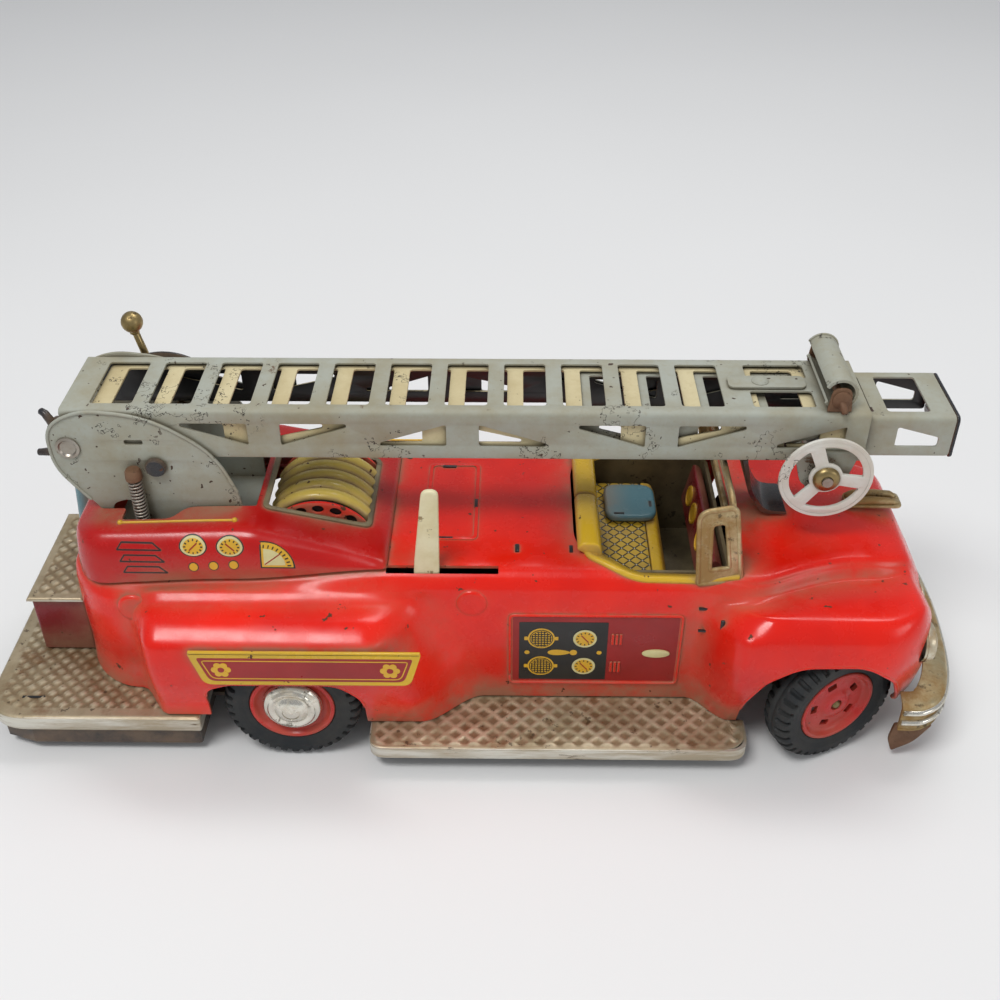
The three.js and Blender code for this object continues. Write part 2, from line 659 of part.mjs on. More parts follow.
function bumperBand(offset) {
  const right = BUMPER_CURVE.map(([x, y]) => new THREE.Vector2(x - offset, y + offset * 0.7));
  const tip = new THREE.Vector2(FRONT_END - offset, 0);
  const left = right.map((p) => new THREE.Vector2(p.x, -p.y)).reverse();
  return new THREE.SplineCurve([...right, tip, ...left]).getPoints(18);
}

function band(outerOffset, innerOffset, z0, z1) {
  const points = [...bumperBand(outerOffset), ...bumperBand(innerOffset).reverse()];
  return fromTop(new THREE.Shape(points), z0, z1, 1);
}

function frontBumper() {
  const rolled = join(band(0, 1.3, 17, 28), band(0.4, 5, 26.8, 28), band(0, 2.2, 20, 21.5));
  const wheelRoom = block([200, 209.6], [-59.6, 59.6], [10, 40]);
  return cut(rolled, wheelRoom);
}

function bumperStay(side) {
  const claw = rounded([[222, 16.6, 1], [209, 16.6, 1], [208, 9, 2], [210, 3.5, 1], [217, 8, 3]], 1);
  return fromSide(claw, side * 57 - 0.7, side * 57 + 0.7);
}

function grille() {
  const frame = fromRear(rectangle(-24, 24, 33, 54, 4), BODY_NOSE_X + GAP, BODY_NOSE_X + 1.8);
  const bars = [];
  for (let i = 0; i < 4; i++) {
    bars.push(block([BODY_NOSE_X + 1.6, BODY_NOSE_X + 3], [-21.5, 21.5], [36 + i * 4.4, 38 + i * 4.4]));
  }
  return join(frame, ...bars);
}

function headlight(side) {
  const profile = [[0.01, 0], [8, 0], [8.6, 1.2], [8, 3.4], [6.6, 4.6], [3.4, 5.9], [0.01, 6.3]];
  return turned(profile, 16, [LAMP.x, side * LAMP.y, LAMP.z], X);
}

// ---- Rear housing and hose reel ----------------------------------------------------------------------
function housingTop(x) {
  return x < -12 ? lerp(80, 81.6, smooth(-70, -12, x)) : lerp(81.6, 71.2, (x + 12) / (HOUSING_FRONT_X + 12));
}

function housingSection(x) {
  const seam = bodyTop(x) + GAP + 0.25;
  const top = housingTop(x);
  const corner = Math.sqrt(Math.max(0, 1 - ((-62 - x) / 12.5) ** 2));
  const wide = x < -62 ? lerp(0.62, 1, corner) : 1;
  const tail = 1 - 0.16 * smooth(-66, -74, x);
  const height = (top - seam) * tail;
  const points = [
    [38.4, 0], [38.1, 0.25], [37, 0.55], [35.4, 0.8], [32.6, 0.95], [28, 1], [14, 1.01], [0, 1.02],
  ];
  return points.map(([y, share]) => [y * wide, seam + share * height]);
}

const HOUSING_STATIONS = [-74, -72.5, -69, -63, -40, -12, -6, 26, HOUSING_FRONT_X];

function rearHousing() {
  const whole = shell(HOUSING_STATIONS, housingSection, 9, SHEET);
  const well = block([-66, -12], [-20, 20], [50, 100]);
  const notch = block([-57, -40], [-26.4, -10], [50, 100]);
  const window = block([-8.5, 25.5], [-19.5, 19.5], [50, 100]);
  return cut(whole, well, notch, window);
}

// Wound hose seen in the housing's window: raised turns side by side on a drum that bulges out of it.
function hoseReel() {
  const centre = [8.4, 61.5];
  const arc = (radius) => {
    const shape = new THREE.Shape();
    shape.absarc(centre[0], centre[1], radius, Math.PI - 0.75, 0.75, true);
    shape.closePath();
    return shape;
  };
  const turns = [];
  for (let i = 0; i < 5; i++) turns.push(fromSide(arc(21.4), -14.4 + i * 5.8, -9.6 + i * 5.8, 6));
  return join(fromSide(arc(20.2), -17.5, 17.5, 6), ...turns);
}

// ---- Ladder bracket and its lever -----------------------------------------------------------------------
const BRACKET_OUTLINE = [
  [-65.4, 65.4, 1], [-65.4, 80, 3], [-71, 87, 6], [-78, 97, 8], [-78.4, 113, 7], [-66, 119.4, 9],
  [-44, 117, 16], [-24, 103, 14], [-17, 84, 4], [-17, 65.4, 1],
];

function ladderBracket() {
  const hole = crossBar(...LIFT_AXLE, -40, 40, 1.95);
  const plates = SIDES.map(([, side]) => {
    const y = side * 19;
    const stud = ordered(side * (LADDER_HALF_WIDTH - SHEET + 0.1), y);
    return join(
      fromSide(rounded(BRACKET_OUTLINE, 4), y - 0.45, y + 0.45),
      crossBar(...LADDER_PIVOT, stud[0], stud[1], 2.6, 16),
    );
  });
  const floor = block([-65, -17.4], [-19.4, 19.4], [65.4, 66.8]);
  const eyelets = SIDES.map(([, side]) => crossBar(...LADDER_PIVOT, side * 19 - 4, side * 19 + 4, 1.5, 12));
  return cut(join(...plates, floor), hole, ...eyelets);
}

function liftQuadrant() {
  const disc = new THREE.Shape();
  disc.absarc(LIFT_AXLE[0] - 4, LIFT_AXLE[1], 21, 0.35, Math.PI - 0.35, false);
  disc.closePath();
  return cut(fromSide(disc, 19.8, 20.8, 12), crossBar(...LIFT_AXLE, 10, 30, 1.95));
}

function liftLever() {
  const [x, z] = LIFT_AXLE;
  const axle = crossBar(x, z, -21.6, 24, 1.7);
  const knob = crossBar(x, z, -21.8, -19.75, 3.4, 20);
  const hub = crossBar(x, z, 22, 24.4, 4);
  const elbow = [x - 9.6, 23.4, z + 10];
  const ballCentre = [-57.6, 24, 128.6];
  return join(
    axle, knob, hub,
    bar([x, 23.2, z], elbow, 1.6, 1.6, 8),
    bar(elbow, ballCentre, 1.4, 1.2, 8), ball(...ballCentre, 3.8),
  );
}

function supportSpring() {
  const base = [-50.8, -22.95];
  return join(
    bar([...base, 66], [...base, 95.4], 2.5, 2.5, 18),
    bar([...base, 95], [...base, 99], 2.9, 2.5, 18),
  );
}

// ---- Ladders -------------------------------------------------------------------------------------------
// Each is a channel, open below, with rung holes in its top and lightening holes in its sides.
function channel(x0, x1, halfWidth, topZ, bottomZ, sheet) {
  return cut(
    block([x0, x1], [-halfWidth, halfWidth], [bottomZ, topZ]),
    block([x0 - 5, x1 + 5], [-halfWidth + sheet, halfWidth - sheet], [bottomZ - 5, topZ - sheet]),
  );
}

function rungHoles(firstX, count, halfWidth, length) {
  const holes = [];
  for (let i = 0; i < count; i++) {
    const x = firstX + i * RUNG_PITCH;
    holes.push(block([x, x + length], [-halfWidth, halfWidth], [LADDER_TOP_Z - 6, LADDER_TOP_Z + 5]));
  }
  return holes;
}

// Alternating triangle-like holes; each is wide at one end and slanted along the top or the bottom.
function sideHoles(firstX, count, z0, z1) {
  const holes = [];
  const [length, pitch, point] = [22, 32.8, 1.4];
  for (let i = 0; i < count; i++) {
    const x = firstX + i * pitch;
    const wideAtRear = i % 2 === 1;
    const slopesFromTop = i % 4 === 0 || i % 4 === 1;
    const narrow = slopesFromTop ? [z1 - point, z1] : [z0, z0 + point];
    const [rear, front] = wideAtRear ? [[z0, z1], narrow] : [narrow, [z0, z1]];
    const corners = [[x, rear[0]], [x + length, front[0]], [x + length, front[1]], [x, rear[1]]];
    holes.push(fromSide(outline(corners), -30, 30));
  }
  return holes;
}

function ladderMain() {
  const whole = channel(
    LADDER_REAR_X, LADDER_FRONT_X, LADDER_HALF_WIDTH, LADDER_TOP_Z, LADDER_BOTTOM_Z, SHEET,
  );
  const lobe = SIDES.map(([, side]) => {
    const y = side * (LADDER_HALF_WIDTH - SHEET / 2);
    return crossBar(...LADDER_PIVOT, y - SHEET / 2, y + SHEET / 2, 4.8, 20);
  });
  const pivots = crossBar(...LADDER_PIVOT, -40, 40, 2.8, 16);
  const firstRung = LADDER_REAR_X + 9;
  const strapHole = [firstRung + 11 * RUNG_PITCH + 4, LADDER_FRONT_X - 17];
  return cut(
    join(whole, ...lobe), pivots,
    ...rungHoles(firstRung, 11, 13.5, RUNG_HOLE),
    block(strapHole, [-13.5, -3.6], [112, 125]),
    block(strapHole, [5, 13.5], [112, 125]),
    ...sideHoles(-34, 7, 105.3, 113.8),
  );
}

function ladderMid() {
  const whole = channel(-64, 188, MID_HALF_WIDTH, MID_TOP_Z, 102.4, 0.9);
  return cut(whole, ...rungHoles(-57.5, 12, 12.2, RUNG_HOLE), ...sideHoles(-42, 7, 106, 112.8));
}

function ladderFly() {
  const bottom = LADDER_BOTTOM_Z + 0.2;
  const whole = channel(FLY_REAR_X, FLY_FRONT_X, FLY_HALF_WIDTH, FLY_TOP_Z, bottom, 0.9);
  return cut(whole, ...rungHoles(FLY_REAR_X + 5.8, 6, 11.2, RUNG_HOLE), ...sideHoles(104, 4, 104.4, 112));
}

function flyEndPlate() {
  const outer = rectangle(-FLY_HALF_WIDTH, FLY_HALF_WIDTH, 99.6, FLY_TOP_Z, 1);
  const face = fromRear(outer, FLY_FRONT_X + GAP, FLY_FRONT_X + GAP + 1);
  const window = fromRear(rectangle(-12, 12, 104, 112.4, 2), 220, 225);
  return cut(face, window);
}

function latchStrap() {
  const strap = fromTop(rectangle(147.6, 173.6, -3, 4.4, 2), LADDER_TOP_Z + GAP, LADDER_TOP_Z + 1.2);
  return join(strap, bar([158.5, 0.8, 119.6], [158.5, 0.8, 121.2], 3, 1.8, 16));
}

const ROLLER = { x: 181.4, z: 124.6, r: 5.3 };

function rollerCover() {
  const tube = cut(
    crossBar(ROLLER.x, ROLLER.z, -15.6, 15.6, ROLLER.r, 20),
    crossBar(ROLLER.x, ROLLER.z, -20, 20, ROLLER.r - 1, 20),
  );
  return cut(tube, block([ROLLER.x - 9, ROLLER.x - 2], [-20, 20], [114, ROLLER.z - 3.4]));
}

function rollerPin() {
  const { x, z } = ROLLER;
  const ears = SIDES.map(([, side]) => {
    const y = side * 16.6;
    const ear = rounded([[x - 4, 119], [x + 4, 119], [x + 3, z + 3, 2], [x - 3, z + 3, 2]], 0.5);
    return fromSide(ear, y - 0.5, y + 0.5);
  });
  const tail = bar([x, -17, z - 1.4], [x + 1, -20.6, z - 4], 1.5, 1.2, 10);
  return join(crossBar(x, z - 1, -18.6, 18.6, 1.4, 12), ...ears, tail);
}

function cordGuide() {
  const plate = block([-81, LADDER_REAR_X - GAP], [-12, -10.6], [97, 111]);
  const web = block([LADDER_REAR_X - 1.4, LADDER_REAR_X - GAP], [-16, 4], [101, 116]);
  const horn = bar([-79, -11.3, 109], [-83.5, -8, 117.6], 2, 1.5, 10);
  const hook = bar([-79, -11.3, 99], [-86, -12, 98], 1.8, 1.3, 10);
  return join(plate, web, horn, hook);
}

// ---- Winch -----------------------------------------------------------------------------------------
function winchCradle() {
  const [x, z] = WINCH;
  const ear = rounded([[x - 11, 105], [x + 11, 105], [x + 7, z - 6, 4], [x - 7, z - 6, 4]], 1);
  const ends = SIDES.flatMap(([, side]) => {
    const sheet = [side * 19.1 - 0.6, side * 19.1 + 0.6];
    return [fromSide(ear, ...sheet), block([x - 4.5, x + 4.5], sheet, [z - 7.6, z - 5])];
  });
  const strip = block([x - 5, x + 5], [-19.7, 19.7], [z - 7.6, z - 6.2]);
  return cut(join(...ends, strip), crossBar(x, z, -30, 30, 2.05));
}

function winchDrum() {
  const [x, z] = WINCH;
  const flange = (y) => crossBar(x, z, y - 0.5, y + 0.5, 5.4, 20);
  return join(crossBar(x, z, -26, 20.6, 1.8), crossBar(x, z, -9, 9, 3.4), flange(-9), flange(9));
}

function handWheel() {
  const [x, z] = WINCH;
  const rimRing = turned(
    [[12.2, -1], [15.2, -1], [15.6, -0.2], [15.2, 0.6], [12.2, 0.6]], 28,
    [x, -22.4, z], Y,
  );
  const boss = crossBar(x, z, -25.2, -21.4, 4.4, 24);
  const spokes = [];
  for (let i = 0; i < 3; i++) {
    const angle = Math.PI * (0.62 + (2 * i) / 3);
    const spoke = new THREE.BoxGeometry(10, 1.2, 3.4);
    spoke.translate(8, 0, 0);
    spoke.rotateY(-angle);
    spoke.translate(x, -22.6, z);
    spokes.push(toSolid(spoke));
  }
  return cut(join(rimRing, boss, ...spokes), crossBar(x, z, -40, 0, 2));
}

// A dark strap bent up from the hood, which the ladder lies on when it is down.
function ladderRest() {
  const top = LADDER_BOTTOM_Z - GAP;
  const outer = [
    [171, 70.9], [172.4, 70.9], [172.4, 72], [164.6, 72.4, 5], [157.2, 86, 6], [154, top, 0.4],
  ];
  const inner = [[152.4, top, 0.4], [155.8, 85.6, 6], [163.4, 70.9, 5]];
  return fromSide(rounded([...outer, ...inner], 0.4), -18.3, 18.3);
}

// ---- Small pieces ------------------------------------------------------------------------------------
function deckLever() {
  const [x, z] = LEVER_PIVOT;
  const arm = rounded([
    [x - 3.6, z - 5, 3], [x + 3.6, z - 5, 3], [x + 4.4, 70], [x + 5.6, 101, 3.6], [x - 1.6, 101, 3.6],
    [x - 4.4, 70],
  ], 3);
  return cut(fromSide(arm, -37.8, -35.8), crossBar(x, z, -60, 0, 1.75, 12));
}

function hoodOrnament() {
  const base = fromTop(rectangle(195, 214, -4.4, 4.4, 2), 70.6, 72);
  const ribs = [-2.1, 2.1].map((y) => bar([196, y, 72], [213.4, y, 71.8], 1.6, 1.4, 10));
  return join(base, ...ribs);
}

function numberPlate(side) {
  const y = side * 62.9;
  const face = rounded([[-31, 53.5, 1], [-27, 39.4, 3], [42, 39.4, 3], [46, 53.5, 1]].reverse(), 1);
  const sheet = fromSide(face, y - 0.5, y + 0.5);
  return join(sheet, block([-30.6, 45.6], [y - 0.5, y + 0.5], [53, 54.2]));
}

function operatorLegs() {
  const legs = [11, 19].map((y) => join(
    bar([-83.4, y, 58], [-81, y, 76], 4, 4.4, 12),
    bar([-85.4, y, STEP_BOX_TOP_Z + 3], [-83.4, y, 59], 3.2, 4, 12),
  ));
  return join(...legs, fromRear(rectangle(8, 22, 70, 81, 3), -84.6, -79));
}

// ---- Assembly ------------------------------------------------------------------------------------------
add('body_shell', bodyShell(), RED());
add('chassis_plate', chassisPlate(), BLACK());
add('rear_platform', rearPlatform(), TAN());
add('step_box', stepBox(), DARK_RED());
add('step_box_lid', stepBoxLid(), TAN());
for (const [name, side] of SIDES) add(`running_board_${name}`, runningBoard(side), TAN());
add('cab_liner', cabLiner(), TAN());
add('seat_back', seatBack(), YELLOW());
add('seat_cushion', fromTop(rectangle(107, 131, -29, 29, 5), 44, 57.6), YELLOW());
add('driver_lap', fromTop(rectangle(110, 129, 3, 24, 5), 57.9, 61), TEAL());
add('dashboard', dashboard(), DARK_RED());
add('windshield_frame', windshieldFrame(), CHROME());
add('hood_ornament', hoodOrnament(), CHROME());
add('grille', grille(), CHROME());
for (const [name, side] of SIDES) add(`headlight_${name}`, headlight(side), CHROME());
add('front_bumper', frontBumper(), CHROME());
for (const [name, side] of SIDES) add(`bumper_stay_${name}`, bumperStay(side), STEEL());
add('rear_housing', rearHousing(), RED());
add('hose_reel', hoseReel(), YELLOW());
for (const [name, side] of SIDES) add(`number_plate_${name}`, numberPlate(side), YELLOW());
add('ladder_bracket', ladderBracket(), GREY());
add('lift_quadrant', liftQuadrant(), BLACK());
add('lift_lever', liftLever(), BRASS());
add('support_spring', supportSpring(), STEEL());
add('operator_legs', operatorLegs(), TEAL());
add('ladder_rest', ladderRest(), BLACK());
add('front_beam', frontBeam(), STEEL());
add('tie_rod', tieRod(), STEEL());
rearWheels();
frontWheels();
add('deck_lever', deckLever(), CREAM());
add('ladder_main', ladderMain(), GREY());
add('ladder_mid', ladderMid(), CREAM());
add('ladder_fly', ladderFly(), GREY());
add('fly_end_plate', flyEndPlate(), BLACK());
add('latch_strap', latchStrap(), GREY());
add('roller_cover', rollerCover(), GREY());
add('roller_pin', rollerPin(), STEEL());
add('cord_guide', cordGuide(), BLACK());
add('winch_cradle', winchCradle(), GREY());
add('winch_drum', winchDrum(), STEEL());
add('hand_wheel', handWheel(), CREAM());

export default engine;
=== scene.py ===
"""Looks of the tin toy fire engine: fine pressed-tin shells, boards, wheels and ladders around the CAD frame.

Inside this file a place is given in millimetres: x from the rear axle, y from the middle, z from the ground.
"""
import math

import bmesh
import bpy
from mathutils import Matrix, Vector


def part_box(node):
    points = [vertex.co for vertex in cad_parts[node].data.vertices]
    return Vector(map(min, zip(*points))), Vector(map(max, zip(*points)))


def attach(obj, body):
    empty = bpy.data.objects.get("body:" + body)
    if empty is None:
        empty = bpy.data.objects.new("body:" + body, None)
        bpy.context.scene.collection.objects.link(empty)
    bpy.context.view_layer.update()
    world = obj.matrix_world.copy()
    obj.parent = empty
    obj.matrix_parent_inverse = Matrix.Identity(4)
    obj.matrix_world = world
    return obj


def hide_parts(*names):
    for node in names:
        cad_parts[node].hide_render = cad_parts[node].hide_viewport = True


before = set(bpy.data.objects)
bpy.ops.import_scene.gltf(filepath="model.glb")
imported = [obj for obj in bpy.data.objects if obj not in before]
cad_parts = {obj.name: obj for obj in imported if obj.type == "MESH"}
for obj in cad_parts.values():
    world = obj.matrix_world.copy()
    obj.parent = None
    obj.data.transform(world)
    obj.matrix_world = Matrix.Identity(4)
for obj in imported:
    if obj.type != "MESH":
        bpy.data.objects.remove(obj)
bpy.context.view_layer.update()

# ---- Frame of reference and driving dimensions (millimetres) ----
MM = 0.001
AXLE_LOW, AXLE_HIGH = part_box("rear_axle")
AXLE_X = (AXLE_LOW.x + AXLE_HIGH.x) / 2

WHEELBASE = 182
TYRE_R = 23.75
TYRE_WIDTH = 13
RIM_R = 14.7
REAR_FACE = 59.5
KINGPIN_Y = 42.5
WHEEL_OFFSET = 16
STEER_ANGLE = math.radians(25)
DECK_Z = 69
PLATFORM_Z = 18
BODY_REAR_X = -78
BODY_NOSE_X = 221
BOARD_Z = 12
HOUSING_FRONT_X = 33.5
LADDER_PIVOT = (-72, 105)
LIFT_AXLE = (-43.7, 97.9)
WINCH = (179.4, 96.9)
TIN = 1.1


def metres(p):
    return Vector((AXLE_X + p[0] * MM, p[1] * MM, p[2] * MM))


def lerp(a, b, t):
    return a + (b - a) * t


def smooth(a, b, x):
    t = min(1.0, max(0.0, (x - a) / (b - a)))
    return t * t * (3 - 2 * t)


# ---- Materials ----
class Paint:
    """A principled material and short calls for the nodes that feed it."""

    def __init__(self, name, roughness=0.4, metallic=0.0, coat=0.0, specular=0.5):
        self.material = bpy.data.materials.new(name)
        self.material.use_nodes = True
        self.tree = self.material.node_tree
        self.shader = self.tree.nodes["Principled BSDF"]
        self.shader.inputs["Roughness"].default_value = roughness
        self.shader.inputs["Metallic"].default_value = metallic
        self.shader.inputs["Coat Weight"].default_value = coat
        self.shader.inputs["Coat Roughness"].default_value = 0.12
        self.shader.inputs["Specular IOR Level"].default_value = specular
        self.place = self.tree.nodes.new("ShaderNodeTexCoord").outputs["Object"]

    def node(self, kind, inputs=(), **settings):
        made = self.tree.nodes.new(kind)
        for key, value in settings.items():
            setattr(made, key, value)
        for key, value in dict(inputs).items():
            if isinstance(value, bpy.types.NodeSocket):
                self.tree.links.new(value, made.inputs[key])
            else:
                made.inputs[key].default_value = value
        return made

    def feed(self, socket, value):
        self.tree.links.new(value, self.shader.inputs[socket])

    def noise(self, scale, detail=4.0, rough=0.6, stretch=None, distortion=0.0):
        place = self.place
        if stretch:
            fed = {0: place, 1: stretch}
            place = self.node("ShaderNodeVectorMath", fed, operation="MULTIPLY").outputs[0]
        fed = {"Vector": place, "Scale": scale, "Detail": detail, "Roughness": rough}
        return self.node("ShaderNodeTexNoise", {**fed, "Distortion": distortion}).outputs["Fac"]

    def step(self, value, low, high, invert=False):
        ends = (1.0, 0.0) if invert else (0.0, 1.0)
        fed = {"Value": value, "From Min": low, "From Max": high, "To Min": ends[0], "To Max": ends[1]}
        return self.node("ShaderNodeMapRange", fed, clamp=True).outputs["Result"]

    def math(self, operation, a, b=0.0, clamped=True):
        return self.node("ShaderNodeMath", {0: a, 1: b}, operation=operation, use_clamp=clamped).outputs[0]

    def mix(self, fac, a, b):
        made = self.node("ShaderNodeMix", data_type="RGBA")
        sockets = {"Factor": made.inputs[0], "A": made.inputs[6], "B": made.inputs[7]}
        for key, value in (("Factor", fac), ("A", a), ("B", b)):
            if isinstance(value, bpy.types.NodeSocket):
                self.tree.links.new(value, sockets[key])
            elif key == "Factor":
                sockets[key].default_value = value
            else:
                sockets[key].default_value = (*value, 1.0)
        return made.outputs[2]

    def crevice(self, distance):
        fed = {"Distance": distance * MM}
        return self.node("ShaderNodeAmbientOcclusion", fed, samples=6, only_local=False).outputs["AO"]

    def axes(self):
        return self.node("ShaderNodeSeparateXYZ", {0: self.place}).outputs

    def attribute(self, name):
        return self.node("ShaderNodeAttribute", attribute_name=name).outputs["Fac"]

    def bump(self, height, distance, strength=1.0, base=None):
        fed = {"Height": height, "Distance": distance * MM, "Strength": strength}
        if base is not None:
            fed["Normal"] = base
        made = self.node("ShaderNodeBump", fed).outputs["Normal"]
        self.feed("Normal", made)
        return made


DUST = (0.31, 0.2, 0.115)
RUST = (0.09, 0.035, 0.014)


def enamel(name, main, deep, dust=0.75, chips=0.685, rough=0.24, pale=None):
    """Printed and lacquered tin: uneven colour, dust in the creases, and small chips down to rusty steel."""
    p = Paint(name, rough, 0.0, 0.12, 0.35)
    colour = p.mix(p.step(p.noise(16, 3), 0.42, 0.68), main, deep)
    if pale:
        haze = p.math("MULTIPLY", p.step(p.noise(22, 5, 0.7), 0.52, 0.75), 0.22)
        colour = p.mix(haze, colour, pale)
    crease = p.step(p.crevice(14.0), 0.66, 0.99, invert=True)
    spread = p.step(p.noise(70, 6, 0.7), 0.26, 0.56)
    low = p.step(p.axes()["Z"], 0.024, 0.013)
    grime = p.math("MULTIPLY", p.math("MAXIMUM", crease, low), spread)
    grime = p.math("MULTIPLY", grime, dust)
    colour = p.mix(grime, colour, DUST)
    flakes = p.step(p.noise(260, 3, 0.6), chips, chips + 0.012)
    chip = p.math("MULTIPLY", flakes, p.step(p.noise(30, 2), 0.47, 0.5))
    colour = p.mix(chip, colour, RUST)
    worn = p.math("MAXIMUM", grime, chip)
    p.feed("Base Color", colour)
    gloss = p.math("ADD", p.math("MULTIPLY", worn, 0.5), p.step(p.noise(120, 4), 0.2, 2.4))
    p.feed("Roughness", p.math("ADD", gloss, rough - 0.12))
    soft = p.bump(p.noise(55, 2), 0.35, 0.22)
    p.bump(chip, 0.12, 0.6, soft).node.invert = True
    return p.material


def satin(name, main, stain, rust=0.66, rough=0.5):
    """Thin grey or cream paint: stained, chipped with dark outlines, and rusty in places."""
    p = Paint(name, rough, 0.0, 0.0, 0.45)
    colour = p.mix(p.step(p.noise(28, 6, 0.65), 0.4, 0.68), main, stain)
    colour = p.mix(p.math("MULTIPLY", p.step(p.noise(500, 2), 0.55, 0.7), 0.25), colour, stain)
    crease = p.math("MULTIPLY", p.step(p.crevice(4.0), 0.45, 0.85, invert=True), 0.7)
    colour = p.mix(crease, colour, (0.13, 0.105, 0.06))
    patch = p.math("MULTIPLY", p.step(p.noise(34, 7, 0.72, distortion=0.6), rust, rust + 0.03), 0.9)
    colour = p.mix(patch, colour, (0.11, 0.05, 0.022))
    away = p.math("SUBTRACT", p.noise(46, 5, 0.75), 0.42, clamped=False)
    ring = p.step(p.math("ABSOLUTE", away, clamped=False), 0.003, 0.007, invert=True)
    crack = p.math("MULTIPLY", ring, p.step(p.noise(20, 2), 0.5, 0.53))
    colour = p.mix(crack, colour, (0.03, 0.022, 0.015))
    speck = p.math("MULTIPLY", p.step(p.noise(330, 2), 0.7, 0.715), p.step(p.noise(26, 2), 0.46, 0.5))
    colour = p.mix(speck, colour, (0.05, 0.025, 0.014))
    p.feed("Base Color", colour)
    p.feed("Roughness", p.math("ADD", p.math("MULTIPLY", patch, 0.3), p.step(p.noise(90, 4), -1.2, 1.6)))
    p.bump(p.math("SUBTRACT", p.noise(240, 4), p.math("MULTIPLY", patch, 0.4)), 0.12, 0.35)
    return p.material


def plating(name, bright, patina, amount=0.5, rough=0.24, speckle=260):
    """Plated steel, gone golden brown where the plating has worn through."""
    p = Paint(name, rough, 0.92)
    wear = p.step(p.noise(48, 7, 0.72), amount - 0.08, amount + 0.1)
    wear = p.math("MAXIMUM", wear, p.step(p.crevice(2.5), 0.4, 0.8, invert=True))
    colour = p.mix(wear, bright, patina)
    spots = p.step(p.noise(speckle, 4, 0.7), 0.58, 0.66)
    colour = p.mix(p.math("MULTIPLY", spots, 0.75), colour, (0.07, 0.045, 0.02))
    p.feed("Base Color", colour)
    p.feed("Roughness", p.math("ADD", p.math("MULTIPLY", p.math("MAXIMUM", wear, spots), 0.32), rough))
    dulled = p.math("MULTIPLY", p.math("MAXIMUM", wear, spots), 0.55)
    p.feed("Metallic", p.step(dulled, 0.0, 1.0, invert=True))
    p.bump(p.noise(420, 4), 0.08, 0.4)
    return p.material


def tread_tin():
    """Lacquer over embossed diamonds, worn tan; how far a point is raised comes with the mesh."""
    p = Paint("tread_plate", 0.42, 0.45)
    hollow = p.mix(p.step(p.noise(60, 6, 0.7), 0.4, 0.65), (0.34, 0.26, 0.15), (0.2, 0.14, 0.075))
    raised = p.mix(p.step(p.noise(90, 5), 0.42, 0.62), (0.56, 0.48, 0.33), (0.38, 0.31, 0.19))
    colour = p.mix(p.attribute("raised"), hollow, raised)
    rust = p.step(p.noise(30, 6, 0.7), 0.58, 0.66)
    colour = p.mix(p.math("MULTIPLY", rust, 0.6), colour, (0.22, 0.1, 0.035))
    speck = p.step(p.noise(300, 3), 0.64, 0.68)
    colour = p.mix(p.math("MULTIPLY", speck, 0.7), colour, (0.06, 0.035, 0.018))
    p.feed("Base Color", colour)
    p.feed("Roughness", p.step(p.noise(70, 5), -0.2, 1.5))
    p.bump(p.noise(380, 4), 0.08, 0.4)
    return p.material


def silver_edge():
    """The folded edge of a board: pale silver paint with rubbed lines."""
    p = Paint("silver_edge", 0.34, 0.55)
    rub = p.noise(60, 6, 0.7, (0.35, 1.0, 3.2))
    colour = p.mix(p.step(rub, 0.42, 0.6), (0.68, 0.66, 0.58), (0.45, 0.38, 0.27))
    colour = p.mix(p.step(p.noise(120, 6, 0.75, (0.4, 1, 2.5)), 0.62, 0.67), colour, (0.1, 0.06, 0.03))
    p.feed("Base Color", colour)
    p.feed("Roughness", p.step(rub, -0.1, 1.3))
    p.bump(rub, 0.15, 0.4)
    return p.material


def rubber():
    p = Paint("tyre_rubber", 0.8, 0.0, 0.0, 0.35)
    dusty = p.math("MULTIPLY", p.step(p.noise(60, 6, 0.7), 0.4, 0.75), 0.5)
    colour = p.mix(dusty, (0.016, 0.019, 0.021), (0.07, 0.062, 0.05))
    p.feed("Base Color", colour)
    p.feed("Roughness", p.step(p.noise(80, 4), -1.0, 1.3))
    p.bump(p.noise(520, 4), 0.12, 0.5)
    return p.material


def plain(name, colour, second, rough=0.5, metallic=0.0, scale=50, dark=None, grain=300):
    """A simpler uneven finish for small pieces."""
    p = Paint(name, rough, metallic)
    mixed = p.mix(p.step(p.noise(scale, 5, 0.65), 0.38, 0.66), colour, second)
    if dark:
        spots = p.step(p.noise(scale * 5, 3, 0.7), 0.62, 0.67)
        mixed = p.mix(p.math("MULTIPLY", spots, 0.8), mixed, dark)
    p.feed("Base Color", mixed)
    p.feed("Roughness", p.step(p.noise(scale * 1.5, 4), 0.5 - rough * 1.6, 1.5 - rough * 0.4))
    p.bump(p.noise(grain, 3), 0.08, 0.3)
    return p.material


def quilted():
    """The seat's printed pattern: yellow tin with a black lattice and pale dots where its lines cross."""
    p = Paint("quilted_yellow", 0.34, 0.0, 0.2)
    x, y, _ = p.axes()
    pitch = 2.3 * MM

    def lines(operation):
        slanted = p.math(operation, x, y, clamped=False)
        scaled = p.math("MULTIPLY", slanted, 1 / pitch, clamped=False)
        wave = p.math("PINGPONG", scaled, 1.0, clamped=False)
        return p.step(wave, 0.14, 0.22, invert=True), p.step(wave, 0.14, 0.24, invert=True)

    (one, near_one), (two, near_two) = lines("ADD"), lines("SUBTRACT")
    yellow = p.mix(p.step(p.noise(80, 5), 0.45, 0.75), (0.56, 0.36, 0.03), (0.33, 0.21, 0.05))
    colour = p.mix(p.math("MAXIMUM", one, two), yellow, (0.016, 0.015, 0.012))
    dot = p.math("MULTIPLY", near_one, near_two)
    colour = p.mix(p.step(dot, 0.82, 0.95), colour, (0.5, 0.5, 0.45))
    p.feed("Base Color", colour)
    p.bump(p.noise(200, 4), 0.1, 0.3)
    return p.material


